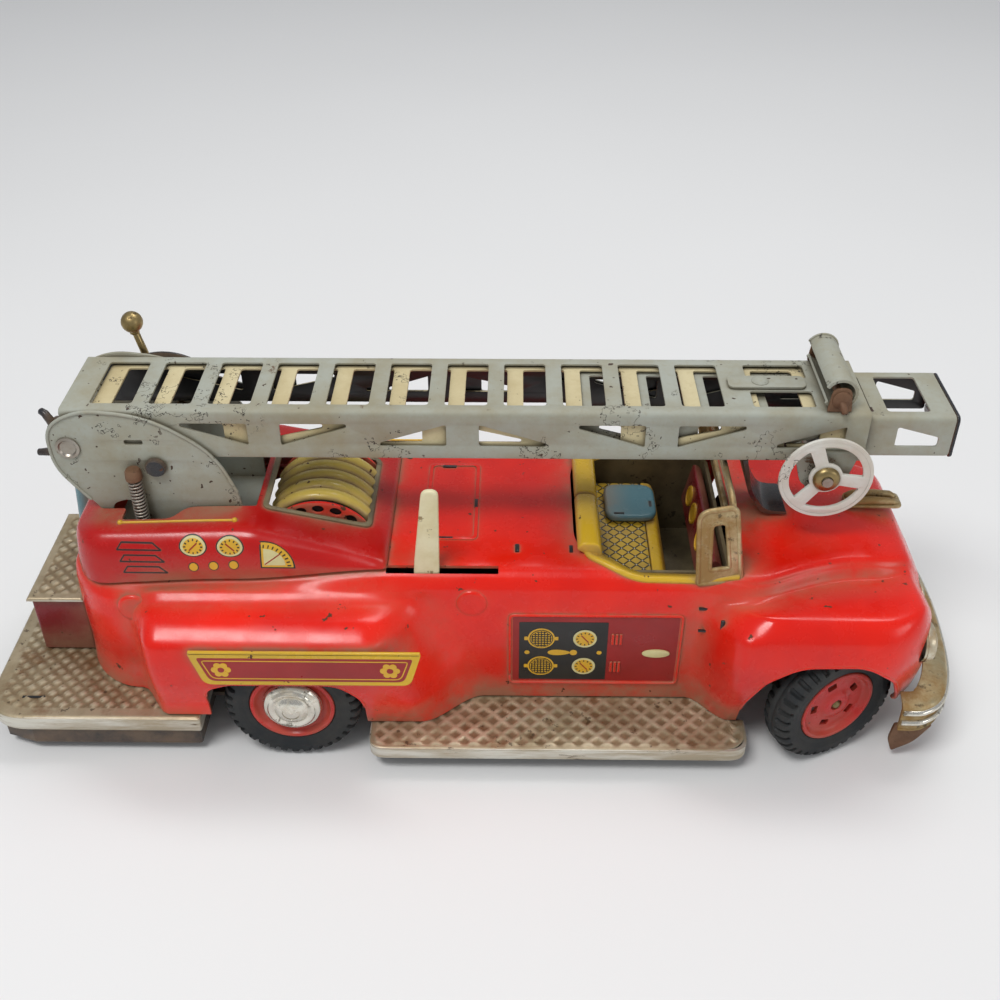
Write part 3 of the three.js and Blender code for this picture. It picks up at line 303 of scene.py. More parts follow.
RED = (0.84, 0.012, 0.001)
MATERIALS = {
    "red_enamel": enamel("red_enamel", RED, (0.62, 0.007, 0.003), pale=(0.6, 0.06, 0.035)),
    "deep_red": enamel(
        "housing_red", (0.52, 0.006, 0.004), (0.4, 0.004, 0.004), 0.85, pale=(0.48, 0.07, 0.05)
    ),
    "dark_red_enamel": enamel("dark_red_enamel", (0.22, 0.006, 0.016), (0.16, 0.004, 0.01), 0.5),
    "rim_red": enamel("rim_red", (0.55, 0.01, 0.01), (0.42, 0.007, 0.008), 0.3),
    "black_enamel": enamel("black_enamel", (0.014, 0.017, 0.022), (0.02, 0.022, 0.026), 0.4),
    "yellow_enamel": enamel("yellow_enamel", (0.68, 0.42, 0.02), (0.55, 0.35, 0.03), 0.7),
    "hose_yellow": enamel("hose_yellow", (0.62, 0.48, 0.1), (0.5, 0.36, 0.07), 0.95, 0.67),
    "teal_enamel": enamel("teal_enamel", (0.08, 0.2, 0.24), (0.12, 0.23, 0.25), 0.6),
    "tread_plate": tread_tin(),
    "silver_edge": silver_edge(),
    "cab_tin": plain("cab_tin", (0.25, 0.2, 0.11), (0.13, 0.1, 0.055), 0.5, 0.2, 45, (0.05, 0.035, 0.02)),
    "hub_chrome": plating("hub_chrome", (0.74, 0.72, 0.64), (0.5, 0.42, 0.28), 0.6, 0.2),
    "worn_chrome": plating("worn_chrome", (0.66, 0.62, 0.5), (0.4, 0.28, 0.13), 0.5),
    "gold_plating": plating("gold_plating", (0.56, 0.47, 0.28), (0.34, 0.21, 0.075), 0.47, 0.32, 200),
    "bare_steel": plain(
        "bare_steel", (0.4, 0.37, 0.32), (0.24, 0.2, 0.16), 0.38, 0.85, 60, (0.1, 0.045, 0.02)
    ),
    "rusty_steel": plain(
        "rusty_steel", (0.2, 0.105, 0.055), (0.11, 0.05, 0.024), 0.7, 0.3, 90, (0.04, 0.02, 0.01)
    ),
    "grey_paint": satin("grey_paint", (0.36, 0.375, 0.32), (0.29, 0.26, 0.17)),
    "cream_paint": satin("cream_paint", (0.6, 0.52, 0.31), (0.46, 0.37, 0.19), 0.7),
    "wheel_white": satin("wheel_white", (0.66, 0.65, 0.59), (0.56, 0.5, 0.4), 0.74),
    "cream_plastic": plain(
        "cream_plastic", (0.76, 0.7, 0.46), (0.56, 0.46, 0.2), 0.4, 0.0, 45, (0.2, 0.13, 0.04)
    ),
    "aged_brass": plain(
        "aged_brass", (0.36, 0.27, 0.12), (0.22, 0.16, 0.07), 0.32, 0.9, 90, (0.05, 0.03, 0.015)
    ),
    "tyre_rubber": rubber(),
    "quilted": quilted(),
    "ink": plain("print_black", (0.01, 0.011, 0.012), (0.016, 0.016, 0.016), 0.35),
    "ink_yellow": plain("print_yellow", (0.72, 0.4, 0.02), (0.62, 0.36, 0.03), 0.35),
    "ink_cream": plain("print_cream", (0.68, 0.62, 0.3), (0.55, 0.5, 0.24), 0.35),
    "ink_red": plain("print_red", (0.33, 0.01, 0.01), (0.26, 0.008, 0.008), 0.35),
}


# ---- Mesh helpers: a part is (vertices, faces, finish number) ----
def rounded(points, radius, steps=4):
    """A polygon with its corners rounded; a point may give its own radius as a third number."""
    out = []
    for i, point in enumerate(points):
        here = Vector(point[:2])
        before, after = Vector(points[i - 1][:2]), Vector(points[(i + 1) % len(points)][:2])
        wanted = point[2] if len(point) > 2 else radius
        r = min(wanted, 0.48 * (before - here).length, 0.48 * (after - here).length)
        a, b = here + (before - here).normalized() * r, here + (after - here).normalized() * r
        for s in range(steps + 1):
            t = s / steps
            out.append(a * (1 - t) ** 2 + here * 2 * t * (1 - t) + b * t * t)
    return [(p.x, p.y) for p in out]


def bent(points, radius, steps=4, pitch=1000.0):
    """An open line with its bends rounded, and with no two points further apart than `pitch`."""
    soft = [Vector(points[0][:2])]
    for before, here, after in zip(points, points[1:], points[2:]):
        r = here[2] if len(here) > 2 else radius
        corners = rounded([(*before[:2], 0), (*here[:2], r), (*after[:2], 0)], 0, steps)
        soft += [Vector(p) for p in corners[steps + 1:2 * steps + 2]]
    soft.append(Vector(points[-1][:2]))
    line = [soft[0]]
    for a, b in zip(soft, soft[1:]):
        if (b - a).length < 0.01:
            continue
        n = math.ceil((b - a).length / pitch)
        line += [a.lerp(b, (i + 1) / n) for i in range(n)]
    return [(p.x, p.y) for p in line]


def rectangle(a0, a1, b0, b1, radius, steps=4):
    return rounded([(a0, b0), (a1, b0), (a1, b1), (a0, b1)], radius, steps)


def circle(a, b, radius, sides=32, squash=1.0):
    turns = (2 * math.pi * i / sides for i in range(sides))
    return [(a + radius * math.cos(t), b + radius * squash * math.sin(t)) for t in turns]


def arc(a, b, radius, start, end, steps, squash=1.0):
    turns = (lerp(start, end, i / steps) for i in range(steps + 1))
    return [(a + radius * math.cos(t), b + radius * squash * math.sin(t)) for t in turns]


PLANES = {"x": lambda a, b, d: (d, a, b), "y": lambda a, b, d: (a, d, b), "z": lambda a, b, d: (a, b, d)}


def between(low, high):
    """A closed solid between two rings of points."""
    n = len(low)
    faces = [tuple(range(n)), tuple(range(2 * n - 1, n - 1, -1))]
    faces += [(i, (i + 1) % n, n + (i + 1) % n, n + i) for i in range(n)]
    return [*low, *high], faces, 0


def prism(outline, low, high, axis="z"):
    return between(*([PLANES[axis](a, b, d) for a, b in outline] for d in (low, high)))


def box(x, y, z):
    return prism([(x[0], y[0]), (x[1], y[0]), (x[1], y[1]), (x[0], y[1])], *z)


def skin(rings, closed=True, caps=True):
    """Faces between rings of points; the ends are closed with one face each."""
    count = len(rings[0])
    verts = [p for ring in rings for p in ring]
    wrap = count if closed else count - 1
    faces = []
    for i in range(len(rings) - 1):
        for j in range(wrap):
            k = (j + 1) % count
            faces.append((i * count + j, i * count + k, (i + 1) * count + k, (i + 1) * count + j))
    if caps:
        last = (len(rings) - 1) * count
        faces += [tuple(range(count)), tuple(last + j for j in reversed(range(count)))]
    return verts, faces, 0


def heading(line, i):
    """Direction of a line of points at its point i."""
    return (line[min(i + 1, len(line) - 1)] - line[max(i - 1, 0)]).normalized()


def turned(profile, centre, outward, sides=64, reshape=None):
    """A turned piece from a closed profile of (radius, distance along `outward`)."""
    axis = Vector(outward).normalized()
    across = Vector((0, 0, 1)) if abs(axis.z) < 0.9 else Vector((1, 0, 0))
    across = (across - axis * across.dot(axis)).normalized()
    third = axis.cross(across)
    rings = []
    for i in range(sides):
        angle = 2 * math.pi * i / sides
        arm = across * math.cos(angle) + third * math.sin(angle)
        ring = []
        for r, w in profile:
            r, w = reshape(r, w, angle) if reshape else (r, w)
            ring.append(tuple(Vector(centre) + arm * r + axis * w))
        rings.append(ring)
    return skin(rings + [rings[0]], caps=False)


def rod(path, radius, sides=16, end_radius=None):
    """A round bar along a list of points, with slightly rounded ends."""
    points = [Vector(p) for p in path]
    end_radius = radius if end_radius is None else end_radius
    first, last = heading(points, 0), heading(points[-2:], 1)
    rim = 0.3 * min(radius, end_radius)
    spans = len(points) - 1
    inner = [(points[i], lerp(radius, end_radius, i / spans)) for i in range(1, spans)]
    stations = [
        (points[0], radius - rim), (points[0] + first * rim, radius), *inner,
        (points[-1] - last * rim, end_radius), (points[-1], end_radius - rim),
    ]
    centres = [point for point, _ in stations]
    rings = []
    across = first.orthogonal().normalized()
    for i, (point, r) in enumerate(stations):
        along = heading(centres, i)
        across = (across - along * across.dot(along)).normalized()
        third = along.cross(across)
        rings.append([tuple(point + across * a + third * b) for a, b in circle(0, 0, r, sides)])
    return skin(rings)


def ball(centre, radius, sides=28):
    half = arc(0, 0, radius, math.pi / 2, -math.pi / 2, sides // 2)
    return turned([(max(r, 0.001), w) for r, w in half], centre, (0, 0, 1), sides)


def fillet(mesh, width, segments, limit=32):
    sharp = [e for e in mesh.edges if e.is_manifold and e.calc_face_angle(0) > math.radians(limit)]
    bmesh.ops.bevel(
        mesh, geom=sharp, offset=width * MM, segments=segments, profile=0.5,
        affect="EDGES", clamp_overlap=True,
    )


def linked(name, data):
    made = bpy.data.objects.new(name, data)
    bpy.context.scene.collection.objects.link(made)
    return made


def settled(name, mesh):
    """Turns a finished bmesh into an object of the scene."""
    data = bpy.data.meshes.new(name)
    mesh.to_mesh(data)
    mesh.free()
    return linked(name, data)


def evaluated(made):
    bpy.context.view_layer.update()
    return bpy.data.meshes.new_from_object(made.evaluated_get(bpy.context.evaluated_depsgraph_get()))


def smoothed(made, sharp):
    made.data.shade_smooth()
    made.data.set_sharp_from_angle(angle=math.radians(sharp))


def build(name, body, finishes, parts, replaced=(), place=None, bevel=0.0, segments=2, sharp=38):
    """Makes one piece from its parts and dresses it."""
    mesh = bmesh.new()
    for verts, faces, tone in parts:
        made = [mesh.verts.new(metres(place(v) if place else v)) for v in verts]
        for face in faces:
            mesh.faces.new([made[i] for i in face]).material_index = tone
    bmesh.ops.remove_doubles(mesh, verts=mesh.verts, dist=0.004 * MM)
    bmesh.ops.recalc_face_normals(mesh, faces=mesh.faces)
    if bevel:
        fillet(mesh, bevel, segments)
    return dress(settled(name, mesh), body, finishes, replaced, sharp)


def fine(node, body, finishes, parts, place=None, **how):
    """The piece that stands for one CAD node."""
    return build(f"{node}_fine", body, finishes, parts, [node], place, **how)


def dress(made, body, finishes, replaced=(), sharp=38):
    """Gives a piece its finishes and its body, and hides the CAD nodes it stands for."""
    names = [finishes] if isinstance(finishes, str) else finishes
    for finish in names:
        made.data.materials.append(MATERIALS[finish])
    smoothed(made, sharp)
    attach(made, body)
    if replaced:
        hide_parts(*([replaced] if isinstance(replaced, str) else replaced))
    return made


def carve(made, cutters, sharp=38, folded_over=False):
    """Cuts closed parts out of a piece; `folded_over` is for a piece whose own skin overlaps."""
    tools = []
    for verts, faces, _ in cutters:
        mesh = bmesh.new()
        corners = [mesh.verts.new(metres(v)) for v in verts]
        for face in faces:
            mesh.faces.new([corners[i] for i in face])
        bmesh.ops.recalc_face_normals(mesh, faces=mesh.faces)
        tool = settled("cutter", mesh)
        cut = made.modifiers.new("cut", "BOOLEAN")
        cut.operation = "DIFFERENCE"
        cut.solver = "EXACT"
        cut.use_self = folded_over
        cut.object = tool
        tools.append(tool)
    cleaned = evaluated(made)
    made.modifiers.clear()
    old, made.data = made.data, cleaned
    bpy.data.meshes.remove(old)
    for tool in tools:
        bpy.data.objects.remove(tool)
    smoothed(made, sharp)


def sheet(outline, holes, thickness, edge=0.18):
    """A flat plate in (a, b) with holes and softened edges, as vertices (a, b, depth) and faces."""
    curve = bpy.data.curves.new("sheet", "CURVE")
    curve.dimensions, curve.fill_mode = "2D", "BOTH"
    curve.extrude, curve.bevel_depth, curve.bevel_resolution = thickness / 2 - edge, edge, 1
    curve.offset = -edge
    for loop in (outline, *holes):
        spline = curve.splines.new("POLY")
        spline.points.add(len(loop) - 1)
        for point, (a, b) in zip(spline.points, loop):
            point.co = (a, b, 0, 1)
        spline.use_cyclic_u = True
    made = linked("sheet", curve)
    data = evaluated(made)
    verts = [tuple(v.co) for v in data.vertices]
    faces = [tuple(p.vertices) for p in data.polygons]
    bpy.data.objects.remove(made)
    bpy.data.curves.remove(curve)
    bpy.data.meshes.remove(data)
    return verts, faces


def plate(outline, holes, low, high, axis, edge=0.18):
    verts, faces = sheet(outline, holes, high - low, edge)
    place = PLANES[axis]
    middle = (low + high) / 2
    return [place(a, b, middle + d) for a, b, d in verts], faces, 0


def wall(outline, holes, y, thickness, edge=0.16):
    """A plate in (x, z) that stands at y."""
    return plate(outline, holes, y - thickness / 2, y + thickness / 2, "y", edge)


def score(mesh, offset):
    """Cuts every face along the line where the second coordinate is `offset`."""
    geometry = mesh.verts[:] + mesh.edges[:] + mesh.faces[:]
    bmesh.ops.bisect_plane(mesh, geom=geometry, plane_co=(0, offset, 0), plane_no=(0, 1, 0), dist=1e-5)


# ---- Body shell: the same sections as the frame's, with many more of them ----
PLAIN_SECTION = [
    (41, 12.4), (41.5, 24), (42, 36), (42.2, 46), (42.2, 52), (42, 56),
    (41.8, 59.5), (41.2, 63), (38.8, 66.8), (33, 68.8), (0, 69),
]
REAR_FENDER = [(54, 12.4), (58, 25), (61.3, 37), (62.2, 46), (60.8, 54), (54, 58.6), (46, 59.8), (42.2, 62)]
FRONT_FENDER = [(52, 12.4), (57, 25), (61, 37), (62.3, 48), (61, 57.5), (55.5, 63.5)]
REAR_FLARE = 3


def body_top(x):
    seam = lerp(61.5, 64.3, smooth(-78, -19, x)) if x < -19 else lerp(64.3, DECK_Z, smooth(-19, 36, x))
    return seam + smooth(150, 175, x) - 3 * smooth(196, 216, x)


def rear_fender_weight(x, z):
    end = 66 - 0.42 * (z - 12)
    return smooth(-56, -44, x) * (1 - smooth(end - 22, end, x))


def front_fender_weight(x, z):
    return smooth(138, lerp(152, 168, smooth(50, 60, z)), x)


def plan_scale(x):
    rear = math.sqrt(max(0, 1 - ((-56 - x) / 24.4) ** 2))
    nose = math.sqrt(max(0, 1 - ((x - 196) / 27.5) ** 2))
    return lerp(0.3, 1, rear) if x < -56 else lerp(0.35, 1, nose) if x > 196 else 1


def body_section(x):
    top = body_top(x)
    foot = PLATFORM_Z + 0.4 if x < 0 else lerp(12.4, 20, smooth(192, 206, x))
    stretch = (top - foot) / (DECK_Z - 12.4)
    nose_drop = smooth(208, 221, x) ** 2
    valley = lerp(50, 35, smooth(140, 195, x))
    hood = [(valley + 2.5, 62.6), (valley - 1, 62.8), (valley - 3.4, 66.3), (valley - 8, 69), (0, 70)]
    front = FRONT_FENDER + hood
    points = []
    for i, (y, z) in enumerate(PLAIN_SECTION):
        point = Vector((y, foot + (z - 12.4) * stretch))
        if i < len(REAR_FENDER):
            point = point.lerp(Vector(REAR_FENDER[i]), rear_fender_weight(x, z))
        lift = top - 70 if i > 7 else 0
        point = point.lerp(Vector((front[i][0], front[i][1] + lift)), front_fender_weight(x, z))
        if i == 0:
            point = Vector((point.x + (REAR_FLARE if x < 0 else 0), foot))
        points.append((point.x * plan_scale(x), foot + (point.y - foot) * (1 - 0.3 * nose_drop)))
    return points


def catmull(points, steps, tension=0.35):
    """A smooth curve through 2-D points, open at its ends."""
    points = [Vector(p) for p in points]
    last = len(points) - 1
    out = []
    for s in range(steps + 1):
        t = s / steps * last
        i = min(int(t), last - 1)
        w = t - i
        a, b = points[i], points[i + 1]
        before = points[i - 1] if i else 2 * a - b
        after = points[i + 2] if i + 2 <= last else 2 * b - a
        ta, tb = (b - before) * tension, (after - a) * tension
        out.append(
            a * (2 * w**3 - 3 * w**2 + 1) + b * (3 * w**2 - 2 * w**3)
            + ta * (w**3 - 2 * w**2 + w) + tb * (w**3 - w**2)
        )
    return out


def half_ring(section, x, steps, inset):
    """Points (half width, z) from the foot to the top centre, moved inwards by `inset`."""
    curve = catmull(section(x), steps)
    moved = []
    for i, point in enumerate(curve):
        along = heading(curve, i)
        moved.append(point + Vector((-along.y, along.x)) * inset)
    moved[0].y = curve[0].y
    moved[-1].x = 0.0
    return moved


def end_inset(x, low, high, radius):
    """How far a section draws in near the ends, so that the end edges are round."""
    near = min(x - low, high - x)
    return 0.0 if near >= radius else radius - math.sqrt(max(0.0, radius**2 - (radius - near) ** 2))


def pressed_shell(section, stations, steps, thickness, edge):
    """A closed tin shell, open at the bottom: outer skin, inner skin, end walls, and the rim at the foot."""
    low, high = stations[0], stations[-1]
    skins = []
    for inset, most in ((0.0, 0.7), (thickness, 0.85)):
        rings = []
        for x in stations:
            heights = [z for _, z in section(x)]
            room = most * (max(heights) - min(heights))
            half = half_ring(section, x, steps, min(inset + end_inset(x, low, high, edge), room))
            seat = min(max(x, low + inset), high - inset)
            right = [(seat, -y, z) for y, z in half]
            rings.append(right + [(seat, y, z) for y, z in reversed(half[:-1])])
        skins.append(rings)
    count = len(skins[0][0])
    total = len(stations) * count
    verts, faces = [], []
    for rings in skins:
        offset = len(verts)
        part_verts, part_faces, _ = skin(rings, False, True)
        verts += part_verts
        faces += [tuple(offset + i for i in face) for face in part_faces]
    for j in (0, count - 1):
        for i in range(len(stations) - 1):
            a, b = i * count + j, (i + 1) * count + j
            faces.append((a, b, total + b, total + a))
    for i in (0, len(stations) - 1):
        a, b = i * count, i * count + count - 1
        faces.append((a, b, total + b, total + a))
    return verts, faces, 0


def spread(breaks, pitch):
    """Stations that hit every break and are at most `pitch` apart."""
    out = [breaks[0]]
    for a, b in zip(breaks, breaks[1:]):
        n = max(1, math.ceil((b - a) / pitch))
        out += [a + (b - a) * (i + 1) / n for i in range(n)]
    return out


def crossings(curve, known, level):
    """Where coordinate `known` of a curve passes `level`: the values of its other coordinate."""
    asked = 1 - known
    return [
        lerp(a[asked], b[asked], (level - a[known]) / (b[known] - a[known])) for a, b in zip(curve, curve[1:])
        if min(a[known], b[known]) <= level <= max(a[known], b[known]) and abs(b[known] - a[known]) > 1e-6
    ]


def side_at(section, x, z):
    """Outermost half width of the skin at a height."""
    curve = catmull(section(x), 60)
    return max(crossings(curve, 1, z), default=curve[0].x)


def deck_height(x, y):
    """Height of the body's top skin at a half width."""
    return max(crossings(catmull(body_section(x), 90), 0, y))


REAR_ARCH = [(-29, 0, 1), (-29, 34), (-20, 37.5, 2), (17, 37.5), (25, 28), (25, 0, 1)]
FRONT_ARCH = [
    (155, 0, 1), (155, 26, 4), (160, 40, 4), (171, 48, 5),
    (194, 48.5, 6), (204, 40, 4), (209.2, 26, 4), (209.2, 0, 1),
]
CAB_OPENING = [
    (97, -20, 4), (101, -31, 6), (114, -39.6, 10), (153.5, -40, 2),
    (153.5, 40, 2), (114, 39.6, 10), (101, 31, 6), (97, 20, 4),
]
LAMP = (214.6, 46.5, 46)
SIDES = (("right", -1), ("left", 1))


def body_shell():
    breaks = [
        BODY_REAR_X, -77.6, -76.8, -75, -56, -44, 0, 60, 138, 168, 196, 208, 216, 219.4, 220.5, BODY_NOSE_X,
    ]
    skins = pressed_shell(body_section, spread(breaks, 2.2), steps=74, thickness=TIN, edge=1.8)
    shell = fine("body_shell", "chassis", "red_enamel", [skins], sharp=50)
    cutters = [
        prism(rounded(REAR_ARCH, 5, 6), -75, 75, "y"),
        prism(rounded(FRONT_ARCH, 5, 6), -75, 75, "y"),
        box((33, 71), (-38.2, -35.4), (55, 80)),
        box((-20, 28), (-30, 30), (50, 80)),
        prism(rounded(CAB_OPENING, 4, 6), 50, 90, "z"),
    ]
    for _, side in SIDES:
        cutters.append(prism(circle(side * LAMP[1], LAMP[2], 7.4), 210, 226, "x"))
    carve(shell, cutters, 50)
    arch_lips()
    deck_details()


def arch_lips():
    """The rolled edge round each wheel arch."""
    for label, side in SIDES:
        for name, arch in (("rear", REAR_ARCH), ("front", FRONT_ARCH)):
            cut_off = PLATFORM_Z - 3 if name == "rear" else 9.5
            path = []
            for x, z in rounded(arch, 5, 6):
                if z > cut_off:
                    z = max(z, PLATFORM_Z + 1 if x < 0 else 13.5)
                    path.append((x, side * (side_at(body_section, x, z) - 0.5), z))
            build(f"{name}_arch_lip_{label}", "chassis", "red_enamel", [rod(path, 0.75, 10)], sharp=60)


def deck_details():
    """The pressed hatch, its tabs, and the tabs in front of the lever slot."""
    outer, inner = rectangle(44.6, 63.5, -22, 24, 2.6), rectangle(46.0, 62.1, -20.6, 22.6, 1.8)
    ridge = plate(outer, [inner], DECK_Z - 0.35, DECK_Z + 0.45, "z", 0.25)
    build("deck_hatch_ridge", "chassis", "red_enamel", [ridge])
    tabs = [
        ((49.5, 54.5), (21.6, 22.8)), ((62, 63.2), (-3.5, 1.5)), ((50, 55), (-21.6, -20.6)),
        ((76.6, 78), (-28.5, -24.5)), ((95.2, 96.4), (-28.5, -25)),
    ]
    slots = [box(x, y, (DECK_Z - 0.3, DECK_Z + 0.5)) for x, y in tabs]
    build("deck_tabs", "chassis", "ink", slots, bevel=0.15)
    walls = []
    for x, z, wide, high in ((141.3, 56.2, 4.6, 0.9), (141.6, 48.6, 5, 0.8), (145.9, 55.6, 1.3, 4.6)):
        y = -side_at(body_section, x, z)
        walls.append(box((x - wide / 2, x + wide / 2), (y - 0.25, y + 0.6), (z - high / 2, z + high / 2)))
    build("side_tabs", "chassis", "ink", walls, bevel=0.15)
    for name, x, z in (("rear", -53.2, 54.8), ("middle", 62, 57.1)):
        y = side_at(body_section, x, z) - 0.1
        profile = [(0.01, -0.6), (5.6, -0.6), (5.4, 0.05), (4.6, 0.6), (3.6, 0.42), (0.01, 0.5)]
        for label, side in SIDES:
            boss = turned(profile, (x, side * y, z), (0, side, 0), 40)
            build(f"{name}_boss_{label}", "chassis", "red_enamel", [boss], sharp=60)


# ---- Printed decoration: thin plates on the tin, all worked out from centres and radii ----
INKS = ["ink", "ink_yellow", "ink_cream", "ink_red"]
BLACK_INK, YELLOW_INK, CREAM_INK, RED_INK = range(4)
INK_ROOT = 0.35  # how deep a print reaches into the tin
STRIP = 1.4  # width of the strips that a print is cut into


class Print:
    """Flat printed shapes laid on a surface: `skin_y` gives the half width at (x, z)."""

    def __init__(self, skin_y, side=-1):
        self.skin_y = skin_y
        self.side = side
        self.parts = []

    def shape(self, outline, layer, ink):
        """A thin plate with this outline, cut into strips so that it follows the curved side."""
        lift = 0.05 + 0.07 * layer
        mesh = bmesh.new()
        mesh.faces.new([mesh.verts.new((a, b, 0)) for a, b in outline])
        heights = [b for _, b in outline]
        for k in range(math.ceil(min(heights) / STRIP), math.ceil(max(heights) / STRIP)):
            score(mesh, k * STRIP)
        for made in bmesh.ops.extrude_face_region(mesh, geom=mesh.faces[:], use_keep_orig=True)["geom"]:
            if isinstance(made, bmesh.types.BMVert):
                made.co.z = 1
        mesh.verts.index_update()
        verts = []
        for x, z, outer in (v.co for v in mesh.verts):
            verts.append((x, self.side * (self.skin_y(x, z) + (lift if outer else -INK_ROOT)), z))
        self.parts.append((verts, [tuple(v.index for v in f.verts) for f in mesh.faces], ink))
        mesh.free()

    def bar(self, a0, b0, a1, b1, width, layer, ink):
        along = Vector((a1 - a0, b1 - b0)).normalized() * width / 2
        u, v = -along.y, along.x
        self.shape([(a0 + u, b0 + v), (a1 + u, b1 + v), (a1 - u, b1 - v), (a0 - u, b0 - v)], layer, ink)

    def loop(self, points, width, layer, ink):
        for (a0, b0), (a1, b1) in zip(points, points[1:] + points[:1]):
            if math.hypot(a1 - a0, b1 - b0) > 0.05:
                self.bar(a0, b0, a1, b1, width, layer, ink)

    def gauge(self, a, b, radius, needle, layer=0, squash=1.0):
        for i, (share, ink) in enumerate(((1.1, BLACK_INK), (1, CREAM_INK), (0.8, YELLOW_INK))):
            self.shape(circle(a, b, radius * share, 36, squash), layer + i, ink)
        for c, s in circle(0, 0, radius, 12, squash):
            mark = (a + c * 0.58, b + s * 0.58, a + c * 0.75, b + s * 0.75)
            self.bar(*mark, radius * 0.09, layer + 3, BLACK_INK)
        c, s = math.cos(needle) * radius * 0.5, math.sin(needle) * radius * 0.5 * squash
        self.bar(a - c, b - s, a + c, b + s, radius * 0.1, layer + 3, RED_INK)

    def build(self, name, body):
        build(name, body, INKS, self.parts, sharp=30)


LOCKER = (75.0, 134.2, 19.9, 52.6)  # rear, front, bottom and top of the locker panel
LOCKER_SPLIT = 108.9  # where its black field ends and its red door begins
GRID_X = 85.9  # middle of its two round grids


def body_side(x, z):
    return side_at(body_section, x, z)


def side_panel(label, side):
    """The sunk locker panel: a black instrument field and a red door with a handle."""
    x0, x1, z0, z1 = LOCKER
    low, high = z0 + 8.4, z1 - 10.8
    middle = (low + high) / 2
    art = Print(body_side, side)
    art.shape(rectangle(x0 + 1, x1 - 1, z0 + 1, z1 - 1, 0.6), 0, RED_INK)
    art.shape(rectangle(x0 + 3.2, LOCKER_SPLIT, z0 + 1.6, z1 - 3.2, 0.4), 1, BLACK_INK)
    for z in (low, high):
        for i, (radius, ink) in enumerate(((4.7, YELLOW_INK), (4.1, BLACK_INK), (3.8, YELLOW_INK))):
            art.shape(circle(GRID_X, z, radius, 36), 2 + i, ink)
        for i in range(-3, 4):
            off = i * 1.05
            reach = math.sqrt(3.6**2 - off**2)
            art.bar(GRID_X + off, z - reach, GRID_X + off, z + reach, 0.3, 5, BLACK_INK)
            art.bar(GRID_X - reach, z + off, GRID_X + reach, z + off, 0.3, 6, BLACK_INK)
        for x in (GRID_X - 5.3, GRID_X + 5.3):
            art.shape(rectangle(x - 0.6, x + 0.6, z - 0.8, z + 0.8, 0.2), 2, YELLOW_INK)
        art.gauge(101.0, z, 4.1, -0.9, layer=2)
    for x in (81.0, 106.2):
        art.shape(circle(x, middle, 0.9, 20), 2, YELLOW_INK)
    pear = [(88.2 + 3.9 * (1 + c), middle + (1.3 - 0.25 * c) * s) for c, s in circle(0, 0, 1, 28)]
    art.shape(pear, 2, YELLOW_INK)
    art.shape(circle(97.2, middle, 1.3, 20), 2, YELLOW_INK)
    art.build(f"locker_print_{label}", "chassis")
    for height, z in (("low", low), ("high", high)):
        hinge = []
        for x in (110.6, 112.0, 113.4):
            y = side * (body_side(x, z) + 0.25)
            hinge.append(rod([(x, y, z - 2.4), (x, y, z + 2.4)], 0.55, 10))
        build(f"locker_hinge_{label}_{height}", "chassis", "red_enamel", hinge)
    y = side * (body_side(126, middle) + 0.3)
    handle = prism(circle(126, middle, 4.9, 32, 1.8 / 4.9), y - 0.45, y + 0.45, "y")
    build(f"locker_handle_{label}", "chassis", "ink_cream", [handle], bevel=0.35)
    loop = bent([(x0, z0 + 4), (x0, z1), (x1, z1), (x1, z0), (x0, z0), (x0, z0 + 4)], 1.6, 4, 3)
    bead = [(x, side * (body_side(x, z) + 0.15), z) for x, z in loop]
    build(f"locker_frame_{label}", "chassis", "red_enamel", [rod(bead, 0.6, 10)], sharp=60)


def housing_top(x):
    if x < -12:
        return lerp(80, 81.6, smooth(-70, -12, x))
    return lerp(81.6, 71.2, (x + 12) / (HOUSING_FRONT_X + 12))


# half width, and share of the housing's height
HOUSING_SHARES = [
    (38.4, 0), (38.1, 0.25), (37, 0.55), (35.4, 0.8), (32.6, 0.95), (28, 1), (14, 1.01), (0, 1.02),
]


def housing_section(x):
    seam = body_top(x) + 0.3
    corner = math.sqrt(max(0, 1 - ((-62 - x) / 12.5) ** 2))
    wide = lerp(0.62, 1, corner) if x < -62 else 1
    tail = 1 - 0.16 * (1 - smooth(-74, -66, x))
    height = (housing_top(x) - seam) * tail
    return [(y * wide, seam + share * height) for y, share in HOUSING_SHARES]


def rear_housing():
    breaks = [-74, -73.5, -72.6, -71, -62, -12, 20, 32, 33.1, HOUSING_FRONT_X]
    skins = pressed_shell(housing_section, spread(breaks, 3.0), steps=34, thickness=1.0, edge=1.6)
    shell = fine("rear_housing", "chassis", "deep_red", [skins], sharp=50)
    well = rounded([
        (-66, -20, 2), (-57, -20, 1), (-57, -26.4, 1.5), (-40, -26.4, 3),
        (-36, -20, 4), (-12, -20, 1), (-12, 20, 1), (-66, 20, 2),
    ], 2, 4)
    window = rectangle(-8.5, 25.5, -19.5, 19.5, 2)
    carve(shell, [prism(well, 50, 100), prism(window, 50, 100)], 50, folded_over=True)
    window_frame()
    for label, side in SIDES:
        housing_print(label, side)
    for label, side in SIDES:
        line = [(x, side * 28, housing_section(x)[5][1] + 0.1) for x in (-57, -48, -38, -28, -18)]
        rail = [rod(line, 0.45, 10), ball(line[0], 0.95, 14), ball(line[-1], 0.95, 14)]
        build(f"hand_rail_{label}", "chassis", "ink_yellow", rail)


def window_frame():
    """The rolled rim round the reel's window."""
    outer, inner = rectangle(-10, 27, -21, 21, 3), rectangle(-8.2, 25.2, -19.2, 19.2, 2)
    verts, faces = sheet(outer, [inner], 1.0, 0.35)
    placed = [(a, b, housing_top(a) + 0.45 + d) for a, b, d in verts]
    build("reel_window_rim", "chassis", "cab_tin", [(placed, faces, 0)])


